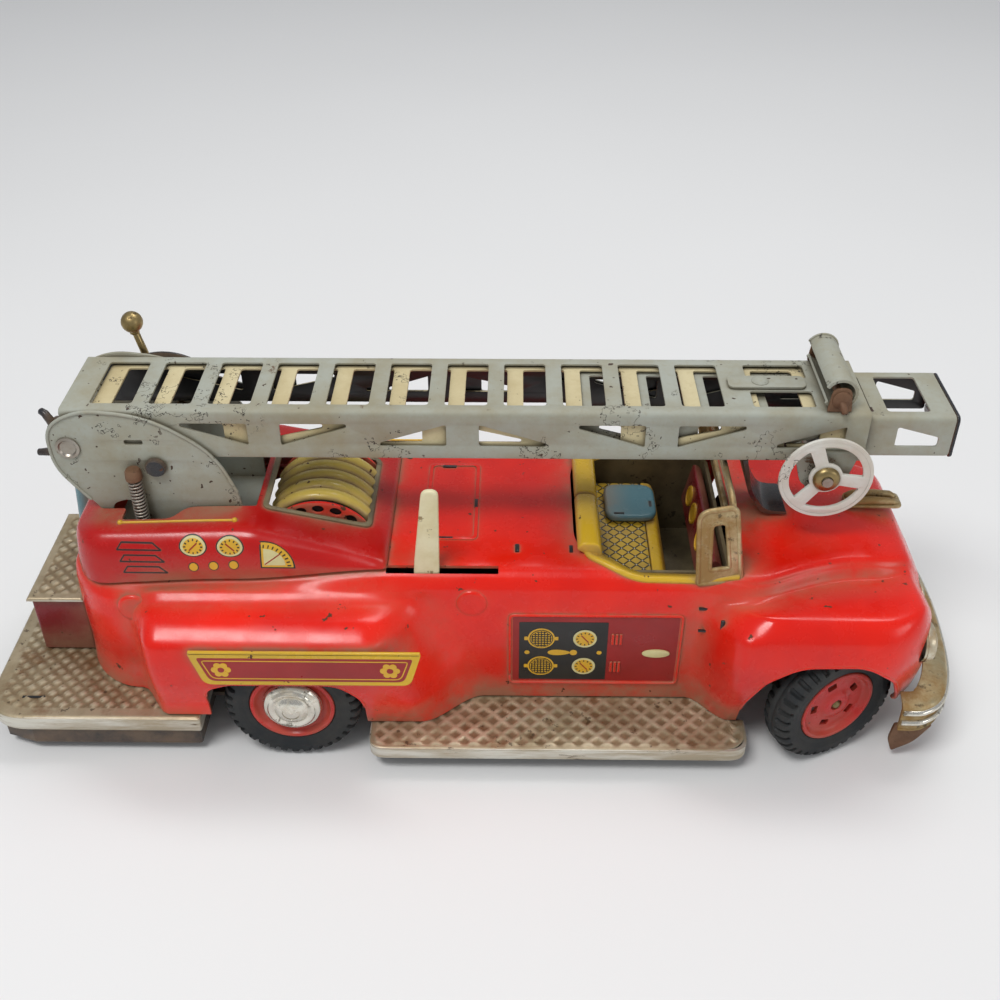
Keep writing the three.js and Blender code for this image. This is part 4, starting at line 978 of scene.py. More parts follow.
def housing_print(label, side):
    """Two dials, three buttons and a quarter-round meter, then the three louvres."""

    def skin_y(x, z):
        return side_at(housing_section, x, z)

    art = Print(skin_y, side)
    for x, needle in ((-31.2, 0.9), (-18.8, 2.3)):
        art.gauge(x, 76.5, 4.3, needle, squash=0.72)
    for x, z in ((-31.6, 69.3), (-24.8, 69.8), (-18, 70.2)):
        art.shape(circle(x, z, 1.75, 24), 0, BLACK_INK)
        art.shape(circle(x, z, 1.45, 24), 1, YELLOW_INK)
    x, z = -8.4, 69.6
    quarters = ((-0.5, 11.7, BLACK_INK), (0, 10.6, YELLOW_INK), (0.7, 7.2, CREAM_INK))
    for i, (shift, radius, ink) in enumerate(quarters):
        a, b = x + shift, z + shift
        art.shape([(a, b), *arc(a, b, radius, 0, math.pi / 2, 12, 0.78)], i, ink)
    for c, s in arc(0, 0, 1, math.pi / 36, math.pi * 17 / 36, 8, 0.78):
        art.bar(x + 8.6 * c, z + 8.6 * s, x + 9.8 * c, z + 9.8 * s, 0.35, 3, BLACK_INK)
    art.bar(x + 1, z + 1, x + 6.2, z + 4.6, 0.35, 3, RED_INK)
    art.build(f"housing_print_{label}", "chassis")
    marks = Print(skin_y, side)
    for i in range(3):
        x, z = -57 + i * 0.7, 76.3 - i * 4.1
        louvre = [(x, z - 1.2), (x + 15, z - 1.2), (x + 12.2, z + 1.1), (x + 1.6, z + 1.1)]
        marks.loop(louvre, 0.42, 1, BLACK_INK)
    marks.build(f"louvre_lines_{label}", "chassis")


REEL = (8.4, 61.5)  # centre of the hose reel in (x, z)


def hose_reel():
    """Five turns of hose on a drum, a black box under the window as painted shade, and the drum's red flange
    with its windows.
    """
    x, z = REEL
    turns = []
    for i in range(5):
        y = -12 + i * 5.8
        rings = []
        for c, s in arc(0, 0, 1, math.pi - 0.55, 0.55, 32):
            loop = [(2.75 * a, 19.6 + 1.8 * b) for a, b in circle(0, 0, 1, 16)]
            rings.append([(x + r * c, y + across, z + r * s) for across, r in loop])
        turns.append(skin(rings))
    build("hose_turns", "chassis", "hose_yellow", turns, ["hose_reel"], sharp=50)
    core = prism(arc(x, z, 18.6, 0.5, math.pi - 0.5, 28), -16.4, 16.4, "y")
    # The black core is the drum's print; the black box under the window is painted shade for the dark inside of
    # the housing.
    build("reel_drum_and_painted_shade", "chassis", "ink", [core, box((-9.5, 26.5), (-20.5, 20.5), (58, 64.5))])
    holes = []
    for c, s in arc(0, 0, 1, math.pi / 2 - 1.08, math.pi / 2 + 1.08, 6):
        oval = [(17.2 + 1.6 * u, 2.1 * v) for u, v in circle(0, 0, 1, 20)]
        holes.append([(x + out * c - across * s, z + out * s + across * c) for out, across in oval])
    for label, side in SIDES:
        flange = wall(arc(x, z, 20.2, 0.42, math.pi - 0.42, 30), holes, side * 17.4, 1.0, 0.2)
        build(f"reel_flange_{label}", "chassis", "red_enamel", [flange])


# ---- Wheels: drawn about their own axle, then placed; w is the distance outwards along the axle ----
LUGS = 34


def tyre_parts(centre, outward, face):
    inner = face - TYRE_WIDTH
    middle = face - TYRE_WIDTH / 2
    outline = rounded([
        (RIM_R + 0.1, inner + 1.2, 0.6), (19.8, inner, 1.5), (22.2, inner + 0.5, 1),
        (TYRE_R, inner + 3.4, 1.6), (TYRE_R, face - 3.4, 1.6),
        (22.2, face - 0.5, 1), (19.8, face, 1.5), (RIM_R + 0.1, face - 1.2, 0.6),
    ], 1, 3)
    profile = []
    for (r0, w0), (r1, w1) in zip(outline, outline[1:] + outline[:1]):
        n = max(1, math.ceil(math.hypot(r1 - r0, w1 - w0) / 0.9))
        profile += [(lerp(r0, r1, i / n), lerp(w0, w1, i / n)) for i in range(n)]

    def lugs(r, w, angle):
        share = (angle / (2 * math.pi) * LUGS + (0.5 if w > middle else 0)) % 1
        groove = smooth(0.5, 0.58, share) * (1 - smooth(0.9, 0.98, share))
        shoulder = smooth(1.6, 3.4, abs(w - middle)) * smooth(20.4, 21.4, r)
        rib = 0.35 * smooth(17.2, 17.7, r) * (1 - smooth(18.4, 18.9, r)) * smooth(5.2, 6, abs(w - middle))
        ring = 0.45 * (1 - smooth(0.5, 0.9, abs(w - middle))) * smooth(21, 23, r)
        inward = -1 if w > middle else 1
        return r - groove * shoulder - ring, w + (0.9 * groove * shoulder - rib) * inward

    return [turned(profile, centre, outward, LUGS * 8, lugs)]


def rim_parts(centre, outward, face):
    profile = rounded([
        (2.2, face - 5.0, 0.1), (3.4, face - 5.0, 0.1), (3.8, face - 4.3, 0.3),
        (RIM_R - 2.6, face - 4.3, 0.6), (RIM_R - 1.1, face - 10.4, 0.4),
        (RIM_R, face - 10.4, 0.4), (RIM_R, face - 0.9, 0.5),
        (RIM_R - 1.3, face - 0.7, 0.5), (RIM_R - 2.6, face - 3.0, 1.2), (6.4, face - 2.7, 0.8),
        (4.6, face - 1.7, 0.8), (2.2, face - 1.6, 0.2),
    ], 0.5, 3)
    return [turned(profile, centre, outward, 96)]


def window_cutters(centre, outward, face, count):
    outline = rectangle(7.4, 9.9, -1.8, 1.8, 0.5)
    cutters = []
    for i in range(count):
        t = 2 * math.pi * i / count + 0.6
        along, across = Vector((math.cos(t), 0, math.sin(t))), Vector((-math.sin(t), 0, math.cos(t)))
        rings = []
        for depth in (face - 9, face + 3):
            middle = Vector(centre) + Vector(outward) * depth
            rings.append([tuple(middle + along * a + across * b) for a, b in outline])
        cutters.append(between(*rings))
    return cutters


def hubcap_parts(centre, outward, face):
    profile = [(0.01, face - 2.2), (10.3, face - 2.2)] + rounded([
        (10.4, face - 1.6, 0.2), (9.6, face - 0.3, 0.6), (8.4, face + 0.1, 0.4), (7.7, face + 1.0, 0.5),
        (6.6, face + 0.7, 0.5), (5.9, face + 0.4, 0.3), (4.6, face + 1.5, 1.2), (2.4, face + 2.2, 1.5),
    ], 0.4, 3) + [(0.01, face + 2.25)]
    return [turned(profile, centre, outward, 72)]


def wheel(end, label, side, body, face, place=None, cap=True):
    """Tyre, rim and hubcap of one wheel; `place` moves a front wheel from the middle to its kingpin."""
    drawn = ((0, 0, TYRE_R), (0, side, 0), face)

    def piece(kind, finish, parts, sharp=42):
        name = f"{end}_{kind}_{label}"
        return fine(name, body, finish, parts, place, sharp=sharp)

    piece("tyre", "tyre_rubber", tyre_parts(*drawn))
    disc = piece("rim", "rim_red", rim_parts(*drawn))
    cutters = window_cutters(*drawn, 5)
    if place:
        cutters = [([place(v) for v in verts], faces, tone) for verts, faces, tone in cutters]
    carve(disc, cutters, 42)
    if cap:
        piece("hubcap", "hub_chrome", hubcap_parts(*drawn), 50)


def kingpin(side):
    """How a place drawn about the middle moves to a steered front corner."""
    c, s = math.cos(STEER_ANGLE), math.sin(STEER_ANGLE)
    return lambda p: (WHEELBASE + p[0] * c - p[1] * s, side * KINGPIN_Y + p[0] * s + p[1] * c, p[2])


def wheels():
    for label, side in SIDES:
        wheel("rear", label, side, "rear_wheels", REAR_FACE)
        wheel("front", label, side, f"front_wheel_{label}", WHEEL_OFFSET, kingpin(side), side > 0)
    end = [(0.01, -1), (1.5, -1), (1.5, 0.6), (1.1, 1.1), (0.01, 1.2)]
    tip = turned(end, (0, 2.6 - WHEEL_OFFSET, TYRE_R), (0, -1, 0), 28)
    build("axle_end_right", "steer_knuckle_right", "aged_brass", [tip], place=kingpin(-1))


# ---- Ladders: flat tin with holes, folded into a channel that is open below ----
def folded(outline, holes, thickness, half_width, top, radius):
    """Folds a flat plate in (x, distance from the middle) down along both its sides; tone 1 is its inside."""
    verts, faces = sheet(outline, holes, thickness, 0.16)
    mesh = bmesh.new()
    made = [mesh.verts.new(v) for v in verts]
    for face in faces:
        mesh.faces.new([made[i] for i in face])
    bmesh.ops.remove_doubles(mesh, verts=mesh.verts, dist=0.003)
    for face in mesh.faces:
        face.material_index = int(max(v.co.z for v in face.verts) < -0.2 * thickness)
    flat = half_width - radius
    bend = radius - thickness / 2
    bend_length = bend * math.pi / 2
    for side in (-1, 1):
        for k in range(6):
            score(mesh, side * (flat + bend_length * k / 5))
    for vert in mesh.verts:
        x, across, depth = vert.co
        side = -1 if across < 0 else 1
        over = abs(across) - flat
        turn = min(max(over / bend_length, 0), 1) * math.pi / 2
        out = flat + (bend + depth) * math.sin(turn)
        up = top - radius + (bend + depth) * math.cos(turn)
        if over <= 0:
            out = abs(across)
        if over > bend_length:
            up -= over - bend_length
        vert.co = (x, side * out, up)
    mesh.verts.index_update()
    verts = [tuple(v.co) for v in mesh.verts]
    faces = ([], [])
    for face in mesh.faces:
        faces[face.material_index].append(tuple(v.index for v in face.verts))
    mesh.free()
    return [(verts, faces[tone], tone) for tone in (0, 1)]


RUNG_PITCH = 19.5
RUNG_HOLE = 14.1
FOLD_R = 1.7
LADDER_TIN = 0.9


def unfold(half_width, top, z):
    """Distance across the flat plate of a height on the folded side."""
    return half_width - FOLD_R + (FOLD_R - LADDER_TIN / 2) * math.pi / 2 + (top - FOLD_R - z)


def side_openings(first_x, count, z0, z1, half_width, top, limit=1000):
    """Slanted holes along both sides, wide at one end, in turn."""
    holes = []
    length, pitch, point = 22, 32.8, 1.4
    for i in range(count):
        x = first_x + i * pitch
        narrow = (z1 - point, z1) if i % 4 in (0, 1) else (z0, z0 + point)
        rear, front = ((z0, z1), narrow) if i % 2 == 1 else (narrow, (z0, z1))
        end = min(x + length, limit)
        share = (end - x) / length
        front = (lerp(rear[0], front[0], share), lerp(rear[1], front[1], share))
        corners = [(x, rear[0]), (end, front[0]), (end, front[1]), (x, rear[1])]
        for side in (-1, 1):
            flat = [(a, side * unfold(half_width, top, b)) for a, b in corners]
            holes.append(rounded(flat, 0.9, 3))
    return holes


def rungs(first_x, count, half):
    starts = (first_x + i * RUNG_PITCH for i in range(count))
    return [rectangle(x, x + RUNG_HOLE, -half, half, 1.3) for x in starts]


def ladder(node, body, finish, x, half_width, top, bottom, holes):
    """One ladder section: its tin is folded at x, the rear and the front end."""
    reach = unfold(half_width, top, bottom)
    parts = folded(rectangle(*x, -reach, reach, 1.2), holes, LADDER_TIN, half_width, top, FOLD_R)
    # The inside faces, tone 1, get black ink as painted shade: it stands in for the shade inside the channel,
    # which is open below.
    fine(node, body, [finish, "ink"], parts)


def studs(profile, place, y, sides):
    """The same turned piece on both sides of the engine, at (x, z)."""
    return [turned(profile, (place[0], side * y, place[1]), (0, side, 0), sides) for _, side in SIDES]


def ladders():
    half, top = 18.1, 118.7
    strap = (154.5, 175)
    holes = rungs(-64, 11, 13.5)
    holes += [rectangle(*strap, -13.5, -3.6, 1.2), rectangle(*strap, 5, 13.5, 1.2)]
    holes += side_openings(-34, 7, 105.3, 113.8, half, top)
    ladder("ladder_main", "main_ladder", "grey_paint", (-73, 192), half, top, 100.6, holes)
    collar = [(2.9, -0.9), (4.8, -0.9), (4.6, 0.25), (3.0, 0.3)]
    build("pivot_collars", "main_ladder", "grey_paint", studs(collar, LADDER_PIVOT, half - 0.1, 40))
    half, top = 16.6, 117.1
    holes = rungs(-57.5, 12, 12.2) + side_openings(-42, 7, 106, 112.8, half, top)
    ladder("ladder_mid", "middle_ladder", "cream_paint", (-64, 188), half, top, 102.4, holes)
    half, top = 15.2, 115.7
    holes = rungs(101.8, 6, 11.2) + side_openings(104, 4, 104.4, 112, half, top, 216.5)
    ladder("ladder_fly", "fly_ladder", "grey_paint", (96, 221), half, top, 100.8, holes)
    window = rectangle(-12, 12, 104, 112.4, 2.4)
    end = plate(rectangle(-half, half, 99.6, top, 2), [window], 221.3, 222.3, "x", 0.25)
    fine("fly_end_plate", "fly_ladder", "black_enamel", [end])
    strap = plate(rectangle(147.6, 173.6, -3, 4.4, 2.2), [], 119, 119.9, "z", 0.2)
    rivet_profile = [(0.01, -0.2), (3, -0.2), (2.9, 0.4), (2.1, 1.1), (1, 1.4), (0.01, 1.45)]
    rivet = turned(rivet_profile, (158.5, 0.8, 119.7), (0, 0, 1), 36)
    fine("latch_strap", "main_ladder", "grey_paint", [strap, rivet])


def ladder_bracket():
    outline = rounded([
        (-65.4, 65.4, 1), (-65.4, 80, 3), (-71, 87, 6), (-78, 97, 8), (-78.4, 113, 7), (-66, 119.4, 9),
        (-44, 117, 16), (-24, 103, 14), (-17, 84, 4), (-17, 65.4, 1),
    ], 4, 8)
    window = rounded([(-62, 66.6, 1), (-51.5, 66.6, 1), (-49.8, 76, 3), (-54, 84.4, 4), (-61.6, 82, 3)], 2, 5)
    slot = rounded([(-53, 106.2), (-46.8, 106.2), (-46.8, 108), (-53, 108)], 0.8, 4)
    hole = circle(*LIFT_AXLE, 1.95, 24)
    rolled_edge = outline[18:74]  # from the second corner round to the ninth
    plates = []
    for _, side in SIDES:
        plates.append(wall(outline, [window, slot, hole], side * 19, 0.9))
        plates.append(rod([(a, side * 19.35, b) for a, b in rolled_edge], 0.6, 10))
    plates.append(plate(rectangle(-65, -17.4, -19.4, 19.4, 1), [], 65.4, 66.8, "z", 0.2))
    plates += studs([(0.4, -2.4), (2.6, -2.4), (2.6, 0.5), (0.4, 0.5)], LADDER_PIVOT, 19, 28)
    fine("ladder_bracket", "chassis", "grey_paint", plates)
    head = [(0.01, 0), (4.1, 0), (4.0, 0.6), (3.1, 0.8), (2.6, 0.2), (1.2, 0.1), (0.01, 0.1)]
    build("bracket_studs", "chassis", "bare_steel", studs(head, LADDER_PIVOT, 19.5, 44))


def lift_gear():
    x, z = LIFT_AXLE
    disc = wall(arc(x - 4, z, 21, 0.35, math.pi - 0.35, 48), [circle(x, z, 1.95, 24)], 20.3, 1.0, 0.25)
    fine("lift_quadrant", "chassis", "black_enamel", [disc])
    lever = [
        rod([(x, -21.4, z), (x, 23.6, z)], 1.7, 20),
        turned([(0.01, 0), (4.1, 0), (4.0, 1.6), (2.4, 2.2), (0.01, 2.4)], (x, 22, z), (0, 1, 0), 36),
        rod([(x, 23.2, z), (x - 9.6, 23.4, z + 10), (-55.4, 23.7, 118), (-57.6, 24, 127)], 1.6, 20, 1.2),
        rod([(-57.2, 23.9, 124), (-57.5, 24, 126)], 1.7, 20),
        ball((-57.6, 24, 128.6), 3.8, 36),
    ]
    fine("lift_lever", "raising_lever", "aged_brass", lever, sharp=50)
    knob_profile = [(0.01, -0.9), (3.4, -0.9), (3.5, 0.3), (3.0, 1.1), (1.6, 1.2), (0.01, 1.0)]
    knob = turned(knob_profile, (x, -20.7, z), (0, -1, 0), 40)
    build("lift_axle_knob", "raising_lever", "black_enamel", [knob], sharp=50)
    base, low, high = (-50.8, -22.95), 66.4, 95.2
    coils, steps = 22, 440
    loops = arc(*base, 2.1, 0, 2 * math.pi * coils, steps)
    coil = [(*place, lerp(low, high, i / steps)) for i, place in enumerate(loops)]
    build("support_spring_coil", "chassis", "bare_steel", [rod(coil, 0.42, 8)], ["support_spring"], sharp=60)
    build("spring_core", "chassis", "black_enamel", [rod([(*base, 66), (*base, high)], 1.5, 16)])
    cap_profile = [(0.01, 0), (2.8, 0), (2.9, 0.5), (2.7, 3.0), (2.2, 3.8), (0.01, 4)]
    cap = turned(cap_profile, (*base, 95), (0, 0, 1), 28)
    build("spring_cap", "chassis", "rusty_steel", [cap])


# ---- Winch and roller ----
def winch():
    x, z = WINCH
    sectors = []
    for i in range(3):
        start = math.pi * (0.62 + 2 * i / 3) + 0.2
        end = start + 2 * math.pi / 3 - 0.4
        outer, inner = arc(x, z, 12.2, start, end, 14), arc(x, z, 5.6, end - 0.2, start + 0.2, 8)
        sectors.append(rounded(outer + inner, 0.4, 2))
    disc = wall(circle(x, z, 15.5, 72), sectors, -22.6, 1.4, 0.3)
    lip_profile = [(14.4, -1.0), (15.5, -1.0), (15.7, -0.2), (15.2, 0.7), (14.5, 0.6)]
    lip = turned(lip_profile, (x, -22.4, z), (0, 1, 0), 72)
    fine("hand_wheel", "winch", "wheel_white", [disc, lip], sharp=42)
    boss_profile = [(2.0, -0.6), (4.6, -0.6), (4.4, 1.8), (3.4, 2.7), (2.0, 2.8)]
    boss = turned(boss_profile, (x, -22.4, z), (0, -1, 0), 40)
    tip = turned([(0.01, 0), (1.9, 0), (1.8, 0.5), (1.0, 1.0), (0.01, 1.1)], (x, -24.6, z), (0, -1, 0), 28)
    build("hand_wheel_boss", "winch", "aged_brass", [boss, tip], sharp=50)
    outline = rounded([(x - 11, 105), (x + 11, 105), (x + 7, z - 6, 4), (x - 7, z - 6, 4)], 1, 6)
    ears = [wall(outline, [circle(x, z, 2.05, 24)], side * 19.1, 1.0) for _, side in SIDES]
    strip = plate(rectangle(x - 5, x + 5, -19.5, 19.5, 0.8), [], z - 7.4, z - 6.4, "z", 0.16)
    fine("winch_cradle", "main_ladder", "grey_paint", [*ears, strip])


def roller():
    x, z, r = 181.4, 124.6, 5.3
    start, end = math.radians(-148), math.radians(152)
    outer, inner = arc(x, z, r, start, end, 60), arc(x, z, r - 0.8, end, start, 60)
    tube = prism(outer + inner, -15.6, 15.6, "y")
    beads = [rod([(a, y, b) for a, b in outer], 0.5, 8) for y in (-15.2, 15.2)]
    fine("roller_cover", "main_ladder", "grey_paint", [tube, *beads], bevel=0.12)
    head = [(0.01, 0), (3.1, 0), (3.0, 0.5), (1.8, 1.3), (0.01, 1.5)]
    ear = rounded([(x - 4, 119), (x + 4, 119), (x + 3, z + 3, 2.4), (x - 3, z + 3, 2.4)], 0.5, 5)
    pins = [
        rod([(x, -18.4, z - 1), (x, 18.4, z - 1)], 1.4, 18),
        turned(head, (x, -17.2, z - 1), (0, -1, 0), 28),
        rod([(x, -17.4, z - 1.6), (x + 0.6, -19.4, z - 3), (x + 1, -20.4, z - 4.4)], 1.4, 16, 1.1),
        *(wall(ear, [], side * 16.6, 0.9) for _, side in SIDES),
    ]
    fine("roller_pin", "main_ladder", "rusty_steel", pins)


def cord_guide():
    """A small tab at the ladder's rear end with three bent prongs."""
    tab = rounded([(-81, 97, 1), (-73.4, 97, 1), (-73.4, 111, 1), (-77, 112.5, 2), (-81, 108, 2)], 1, 5)
    parts = [
        wall(tab, [], -11.4, 1.2, 0.18),
        rod([(-78, -11.6, 107), (-78.8, -11.8, 110.4), (-80.6, -11, 113), (-82.4, -10, 113.4)], 1.7, 18, 1.2),
        rod([(-79, -11.3, 99.4), (-82, -11.6, 98), (-86, -12, 98)], 1.7, 18, 1.2),
        rod([(-73.9, -15.4, 104), (-76.4, -14.6, 103.4), (-77.6, -11.6, 103)], 0.8, 12),
    ]
    fine("cord_guide", "main_ladder", "black_enamel", parts, sharp=50)


# ---- Cab ----
# section of the roll round the opening: distance into the cab, and height over the deck
CAB_RIM = [
    (-0.9, 0.1), (-0.6, 0.9), (0.4, 1.2), (1.4, 0.7), (4.4, -0.6), (4.8, -1.6), (0.6, -1.7), (-0.5, -1.2),
]


def seats():
    """The front seat, the yellow roll round the cab's opening, and what is left of a driver."""
    outline = rounded([
        (102, 44, 1), (106.4, 44, 1), (106.9, 66, 4), (105.6, 73.7, 3),
        (99, 73.9, 3), (97.4, 70.8, 1.6), (100, 69.5, 1), (102, 66, 2),
    ], 2, 6)
    rolls = [prism(outline, low, high, "y") for low, high in ((-29.6, -0.5), (0.5, 29.6))]
    bridge = box((102.6, 105.6), (-6, 6), (44, 66))
    back = [*rolls, bridge]
    fine("seat_back", "chassis", "yellow_enamel", back, bevel=1.1, segments=4)
    quilt = prism(rectangle(107.2, 124.6, -29, 29, 2, 8), 44, 57.4)
    fine("seat_cushion", "chassis", "quilted", [quilt], bevel=0.8, segments=4)
    roll = rounded([(124.8, 44, 1), (130.6, 44, 2), (131, 52, 4), (128.6, 57.2, 3), (124.8, 57.5, 0.8)], 2, 6)
    build("seat_front_roll", "chassis", "yellow_enamel", [prism(roll, -29, 29, "y")], bevel=0.9, segments=4)
    lap = prism(rounded([(110, 3, 5), (129, 3, 6), (129, 24, 6), (110, 24, 5)], 5, 8), 57.8, 60.6)
    fine("driver_lap", "chassis", "teal_enamel", [lap], bevel=1.2, segments=4)
    marks = [box((113, 116.8), (4.6, 5.5), (60.2, 60.9)), box((126.4, 127.3), (9.4, 12.6), (60.2, 60.9))]
    build("lap_marks", "chassis", "ink", marks, bevel=0.12)
    line = [Vector(p) for p in bent([(99.4, 22), (101.4, 31, 3), (114, 39.4, 10), (151.6, 39.8)], 4, 8, 4)]
    for label, side in SIDES:
        rings = []
        for i, point in enumerate(line):
            along = heading(line, i)
            inward = Vector((along.y, -along.x))
            height = deck_height(*point) + 0.3
            places = ((point + inward * depth, up) for depth, up in CAB_RIM)
            rings.append([(p.x, side * p.y, height + up) for p, up in places])
        build(f"cab_rim_{label}", "chassis", "yellow_enamel", [skin(rings)], sharp=60)


def ladder_rest():
    """A dark strap bent up from the hood; it narrows towards its foot."""
    top = 100.3
    outer = [(171, 70.9), (172.4, 70.9), (172.4, 72), (164.6, 72.4, 5), (157.2, 86, 6), (154, top, 0.4)]
    inner = [(154, top), (152.4, top, 0.4), (155.8, 85.6, 6), (163.4, 70.9, 5), (171, 70.9)]
    loop = rounded(outer, 0.4, 8) + rounded(inner, 0.4, 8)
    halves = [lerp(8.5, 18.3, smooth(72, 92, z)) for _, z in loop]
    rings = [[(x, side * half, z) for (x, z), half in zip(loop, halves)] for side in (-1, 1)]
    fine("ladder_rest", "chassis", "black_enamel", [skin(rings)], bevel=0.2)


def windshield():
    def front(p):
        return (163.6 - 0.17 * p[2] + p[0], p[1], p[2])

    outer = rounded([(-38.6, 66.4, 2), (38.6, 66.4, 2), (34, 96.2, 5), (-34, 96.2, 5)], 3, 8)
    hole = rounded([(-32.2, 72.6, 2), (32.2, 72.6, 2), (30, 91.8, 4), (-30, 91.8, 4)], 3, 8)
    parts = [plate(outer, [hole], -0.6, 0.6, "x", 0.25)]
    for loop, r in ((hole, 0.95), (outer, 1.0)):
        parts.append(rod([(0.0, y, z) for y, z in loop + loop[:2]], r, 12))
    build("windshield_front", "chassis", "gold_plating", parts, ["windshield_frame"], front, sharp=60)
    wing = rounded([(138, 65.6, 1), (152.6, 66.2, 1), (148.2, 95.6, 3), (136, 94, 4)], 2, 8)
    gap = rounded([(141.4, 71, 1), (148.2, 71.6, 1), (145.4, 90, 2), (140.4, 89.4, 2)], 1, 6)
    for label, side in SIDES:

        def lean(p, side=side):
            out = 40.6 - 0.07 * (p[2] - 65) - 0.09 * (p[0] - 138)
            return (p[0], side * out + p[1], p[2])

        parts = [wall(wing, [gap], 0, 1.0, 0.2)]
        for loop, r in ((wing, 0.9), (gap, 0.8)):
            parts.append(rod([(a, 0, b) for a, b in loop + loop[:2]], r, 12))
        build(f"windshield_wing_{label}", "chassis", "gold_plating", parts, (), lean, sharp=60)


def dashboard():
    face = rounded([(141, 50, 1), (148.2, 48, 1), (148.2, 64, 2), (144.6, 66.8, 2)], 1, 5)
    panel = prism(face, -29, 29, "y")
    fine("dashboard", "chassis", "dark_red_enamel", [panel], bevel=0.5, segments=3)
    profile = [(0.01, -0.4), (4.0, -0.4), (3.9, 0.35), (3.2, 0.5), (2.9, 0.1), (0.01, 0.15)]
    dials = [turned(profile, (142.6, y, 58.5), (-0.98, 0, 0.2), 32) for y in (-19, -8, 8, 19)]
    build("dashboard_dials", "chassis", "ink_yellow", dials, sharp=50)


# ---- Nose, bumper and lamps ----
BUMPER_CURVE = [(209, -60.5), (217, -60), (224.5, -54), (230, -40), (233, -20), (234, 0)]
# depth behind the curve, and height: two beads below, and a flange that leans back at the top
BUMPER_SECTION = [
    (0.0, 16.8), (0.5, 17.0), (0.25, 19.6), (-0.2, 20.2), (-0.35, 20.8), (-0.2, 21.4), (0.3, 22.0),
    (0.3, 24.6), (-0.1, 25.2), (-0.2, 25.8), (0.0, 26.6), (0.9, 27.7), (2.4, 28.3), (5.2, 29.3),
    (6.6, 29.4), (6.7, 28.8), (5.0, 28.5), (2.6, 27.3), (1.6, 26.0), (1.5, 18.0), (1.2, 16.8),
]


def bumper():
    right = catmull(BUMPER_CURVE + [(233, 20)], 72, 0.5)[:61]
    line = right + [Vector((p.x, -p.y)) for p in reversed(right[:-1])]
    rings = []
    for i, p in enumerate(line):
        along = heading(line, i)
        inward = Vector((-along.y, along.x))
        if inward.dot(Vector((190, 0)) - p) < 0:
            inward = -inward
        flange = lerp(0.95, 1.5, smooth(0.02, 0.2, min(i, len(line) - 1 - i) / len(line)))
        ring = []
        for depth, z in BUMPER_SECTION:
            if depth < 0:
                depth *= 0.8
            elif depth >= 2:
                depth = 2 + (depth - 2) * flange
            q = p + inward * depth
            ring.append((max(q.x, 209.2), q.y, z))
        rings.append(ring)
    fine("front_bumper", "chassis", "gold_plating", [skin(rings)], sharp=50)
    beads = [rod([(max(p.x, 209.6), p.y, z) for p in line], 1.05, 12) for z in (20.8, 25.4)]
    build("bumper_beads", "chassis", "hub_chrome", beads, sharp=60)
    claw = rounded([(222, 16.6, 1), (209, 16.6, 1), (208, 9, 2), (210, 3.5, 1), (217, 8, 3)], 1, 6)
    for label, side in SIDES:
        name = f"bumper_stay_{label}"
        fine(name, "chassis", "rusty_steel", [wall(claw, [], side * 57, 1.4, 0.2)])


def nose():
    x, y, z = LAMP
    profile = [(0.01, 0), (6.8, 0)] + rounded([
        (7.2, 0.6, 0.4), (7.2, 1.6, 0.5), (6.8, 3.2, 0.8), (6.1, 3.8, 0.5),
        (5.5, 3.4, 0.4), (4.2, 4.6, 1.3), (2.2, 5.3, 1.3),
    ], 0.5, 4) + [(0.01, 5.4)]
    for label, side in SIDES:
        name = f"headlight_{label}"
        lamp = turned(profile, (x, side * y, z), (1, 0, 0), 64)
        fine(name, "chassis", "worn_chrome", [lamp], sharp=60)
    x = BODY_NOSE_X
    outer, inner = rectangle(-24, 24, 31, 48, 4, 8), rectangle(-22, 22, 33, 46, 3, 8)
    frame_ring = plate(outer, [inner], x + 0.3, x + 1.5, "x", 0.5)
    back = plate(rectangle(-23, 23, 32, 47, 4, 8), [], x + 0.2, x + 0.7, "x", 0.1)
    bars = [rod([(x + 1.1, -22.2, 35 + i * 3), (x + 1.1, 22.2, 35 + i * 3)], 0.7, 14) for i in range(4)]
    bars.append(rod([(x + 1.4, 0, 32.6), (x + 1.4, 0, 46.4)], 0.8, 14))
    fine("grille", "chassis", "worn_chrome", [frame_ring, *bars], sharp=50)
    build("grille_back", "chassis", "ink", [back])
    ribs = []
    for y in (-2.2, 2.2):
        path = [(195.6, y * 0.8, 70.9), (198, y, 72.2), (205, y, 72.6), (211, y, 72.2), (214, y * 0.7, 70.6)]
        ribs.append(rod(path, 1.7, 18, 1.2))
    base = plate(rectangle(194.6, 214.6, -4.4, 4.4, 2.4, 6), [], 70.5, 71.5, "z", 0.3)
    fine("hood_ornament", "chassis", "gold_plating", [base, *ribs], sharp=60)


PLATE_Y = 62.9  # middle of a number plate's thickness


